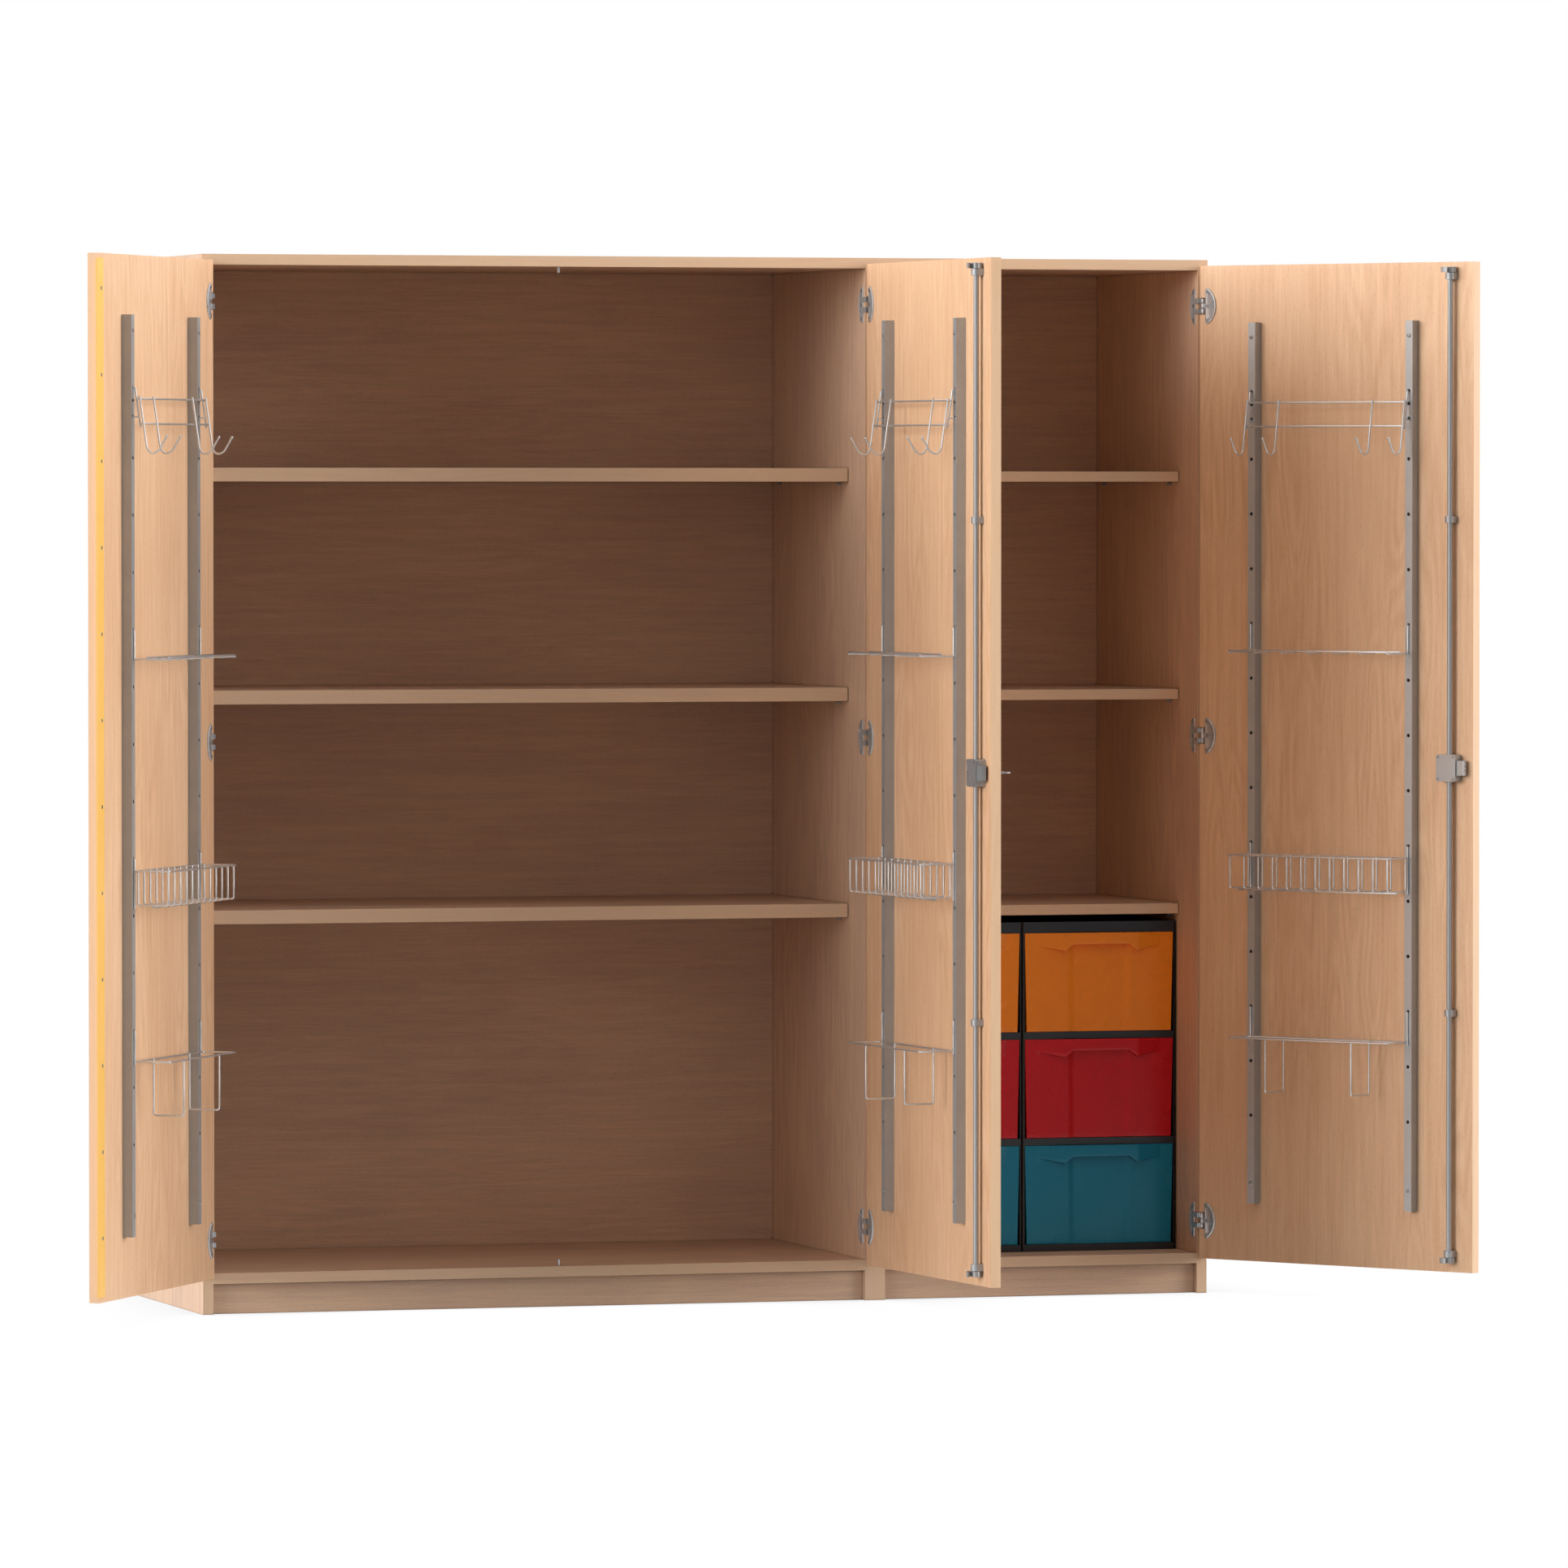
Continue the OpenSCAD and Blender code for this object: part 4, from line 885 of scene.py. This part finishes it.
    @staticmethod
    def tray(name, w, d, h, place):
        """The open tapered box behind the front."""
        wall, side, foot, rim = 2.5, h - 28.0, 5.0, 2.0
        outer = [(foot, 0.0), (w - foot, 0.0), (w - rim, side), (rim, side)]
        inner = [(foot + wall, wall), (w - foot - wall, wall), (w - rim - wall, side), (rim + wall, side)]
        mesh = bmesh.new()
        skin = {}
        for key, ring, y in (("of", outer, 2.0), ("ob", outer, d), ("if", inner, 2.6), ("ib", inner, d - wall)):
            skin[key] = [mesh.verts.new((x, y, z)) for x, z in ring]
        for a, b in (("of", "ob"), ("if", "ib")):
            for k in (3, 0, 1):
                j = (k + 1) % 4
                mesh.faces.new((skin[a][k], skin[a][j], skin[b][j], skin[b][k]))
        mesh.faces.new(skin["ob"])
        mesh.faces.new(skin["ib"])
        for k in (3, 2):
            mesh.faces.new([skin[key][k] for key in ("of", "if", "ib", "ob")])
        mesh.faces.new((skin["ob"][3], skin["ib"][3], skin["ib"][2], skin["ob"][2]))
        for k in (0, 1, 3):
            j = (k + 1) % 4
            mesh.faces.new((skin["of"][k], skin["of"][j], skin["if"][j], skin["if"][k]))
        piece = make_object(name, mesh, place, smooth=False)
        bevel = piece.modifiers.new("soft edge", "BEVEL")
        bevel.width, bevel.segments, bevel.limit_method = 0.9 * MM, 3, "ANGLE"
        return piece


class CABINET_OT_stage(bpy.types.Operator):
    """Builds the pale floor, the white dome, the soft lights and the camera"""
    bl_idname = "cabinet.stage"
    bl_label = "Build stage"

    def execute(self, context):
        scene = context.scene
        stage = settings().stage
        mesh = bmesh.new()
        bmesh.ops.create_grid(mesh, x_segments=8, y_segments=8, size=40.0)
        floor = make_object("studio_floor", mesh, smooth=False)
        material, tree = new_material("white studio floor")
        sight = add_node(tree, "ShaderNodeLightPath").outputs
        # the floor is white to the eye with a painted contact shadow from ambient occlusion, and gives the object
        # a little pale light; its white paper ends in front of the object, which shows only in shiny surfaces
        painted_contact_shadow = add_node(tree, "ShaderNodeAmbientOcclusion", {"Distance": 0.35}, samples=16)
        shade = add_map(tree, painted_contact_shadow.outputs["AO"], 0.0, 0.75, 0.72, 1.0)
        point = add_node(tree, "ShaderNodeNewGeometry").outputs["Position"]
        place = add_node(tree, "ShaderNodeSeparateXYZ", links={"Vector": point})
        paper = add_map(tree, place.outputs["Y"], -3.6, -1.4, stage.room, 1.0)
        paper = add_math(tree, "MAXIMUM", paper, sight["Is Camera Ray"])
        seen = add_node(tree, "ShaderNodeEmission", links={"Color": shade, "Strength": paper})
        bounce = add_node(tree, "ShaderNodeEmission", {"Color": WHITE, "Strength": stage.floor})
        shown = add_math(tree, "MAXIMUM", add_math(tree, "MAXIMUM", sight["Is Camera Ray"], sight["Is Glossy Ray"]),
                         sight["Is Transmission Ray"])
        mix = add_node(tree, "ShaderNodeMixShader", links={0: shown, 1: bounce.outputs[0], 2: seen.outputs[0]})
        floor.data.materials.append(finish_material(material, mix.outputs[0]))

        world = bpy.data.worlds.new("white dome with soft side lights")
        scene.world = world
        world.use_nodes = True
        tree = world.node_tree
        tree.nodes.clear()
        sight = add_node(tree, "ShaderNodeLightPath").outputs
        way = add_node(tree, "ShaderNodeTexCoord").outputs["Generated"]
        light = None
        for turn, rise, full, faded, strength in SOFT_LIGHTS:
            turn, rise = math.radians(turn), math.radians(rise)
            middle = (math.sin(turn) * math.cos(rise), -math.cos(turn) * math.cos(rise), math.sin(rise))
            near = add_node(tree, "ShaderNodeVectorMath", {1: middle}, {0: way}, operation="DOT_PRODUCT")
            patch = add_map(tree, near.outputs["Value"], math.cos(math.radians(faded)), math.cos(math.radians(full)),
                            0.0, strength * stage.sky)
            light = patch if light is None else add_math(tree, "ADD", light, patch)
        # shiny surfaces see the white backdrop, the soft lights and a dimmer room in front
        depth = add_node(tree, "ShaderNodeSeparateXYZ", links={"Vector": way}).outputs["Y"]
        backdrop = add_map(tree, depth, -0.4, 0.2, stage.room, 1.0)
        mirror = add_math(tree, "MINIMUM", add_math(tree, "MAXIMUM", light, backdrop), 3.0)
        lit = add_node(tree, "ShaderNodeBackground", {"Color": WHITE}, {"Strength": light})
        gloss = add_node(tree, "ShaderNodeBackground", {"Color": WHITE}, {"Strength": mirror})
        white = add_node(tree, "ShaderNodeBackground", {"Color": WHITE, "Strength": 1.0})
        mix = add_node(tree, "ShaderNodeMixShader",
                       links={0: sight["Is Glossy Ray"], 1: lit.outputs[0], 2: gloss.outputs[0]})
        shown = add_math(tree, "MAXIMUM", sight["Is Camera Ray"], sight["Is Transmission Ray"])
        mix = add_node(tree, "ShaderNodeMixShader", links={0: shown, 1: mix.outputs[0], 2: white.outputs[0]})
        add_node(tree, "ShaderNodeOutputWorld", links={"Surface": mix.outputs[0]})

        camera = bpy.data.objects.new("photo camera", bpy.data.cameras.new("photo camera"))
        scene.collection.objects.link(camera)
        scene.camera = camera
        camera.data.lens = stage.lens
        camera.data.sensor_width = 36.0
        camera.data.clip_end = 100.0
        camera.location = CAMERA_PLACE
        turn, dip = math.radians(CAMERA_TURN), math.radians(CAMERA_DIP)
        look = Vector((math.sin(turn) * math.cos(dip), math.cos(turn) * math.cos(dip), -math.sin(dip)))
        camera.rotation_mode = "QUATERNION"
        camera.rotation_quaternion = look.to_track_quat("-Z", "Y")
        scene.view_settings.view_transform = "Standard"
        return {"FINISHED"}


class CABINET_PT_panel(bpy.types.Panel):
    """Lists the cabinet's settings and steps"""
    bl_idname = "CABINET_PT_panel"
    bl_label = "Storage cabinet"
    bl_space_type = "VIEW_3D"
    bl_region_type = "UI"
    bl_category = "Cabinet"

    def draw(self, context):
        cabinet = context.scene.cabinet
        for group in (cabinet.boards, cabinet.metal, cabinet.plastic, cabinet.stage):
            box = self.layout.box()
            for name in group.__annotations__:
                box.prop(group, name)
        for step in STEPS:
            self.layout.operator(step.bl_idname)


STEPS = (CABINET_OT_stage, CABINET_OT_boards, CABINET_OT_metal, CABINET_OT_hinges, CABINET_OT_screws, CABINET_OT_racks,
         CABINET_OT_drawers)
CLASSES = (CabinetBoardSettings, CabinetMetalSettings, CabinetPlasticSettings, CabinetStageSettings,
           CabinetSettings) + STEPS + (CABINET_PT_panel,)


def register():
    for cls in CLASSES:
        bpy.utils.register_class(cls)
    bpy.types.Scene.cabinet = bpy.props.PointerProperty(type=CabinetSettings)


def unregister():
    del bpy.types.Scene.cabinet
    for cls in reversed(CLASSES):
        bpy.utils.unregister_class(cls)


def main():
    register()
    bpy.ops.cabinet.stage()
    bpy.ops.cabinet.boards()
    bpy.ops.cabinet.metal()
    bpy.ops.cabinet.hinges()
    bpy.ops.cabinet.screws()
    bpy.ops.cabinet.racks()
    bpy.ops.cabinet.drawers()
    bpy.context.view_layer.update()


if __name__ == "__main__":
    main()
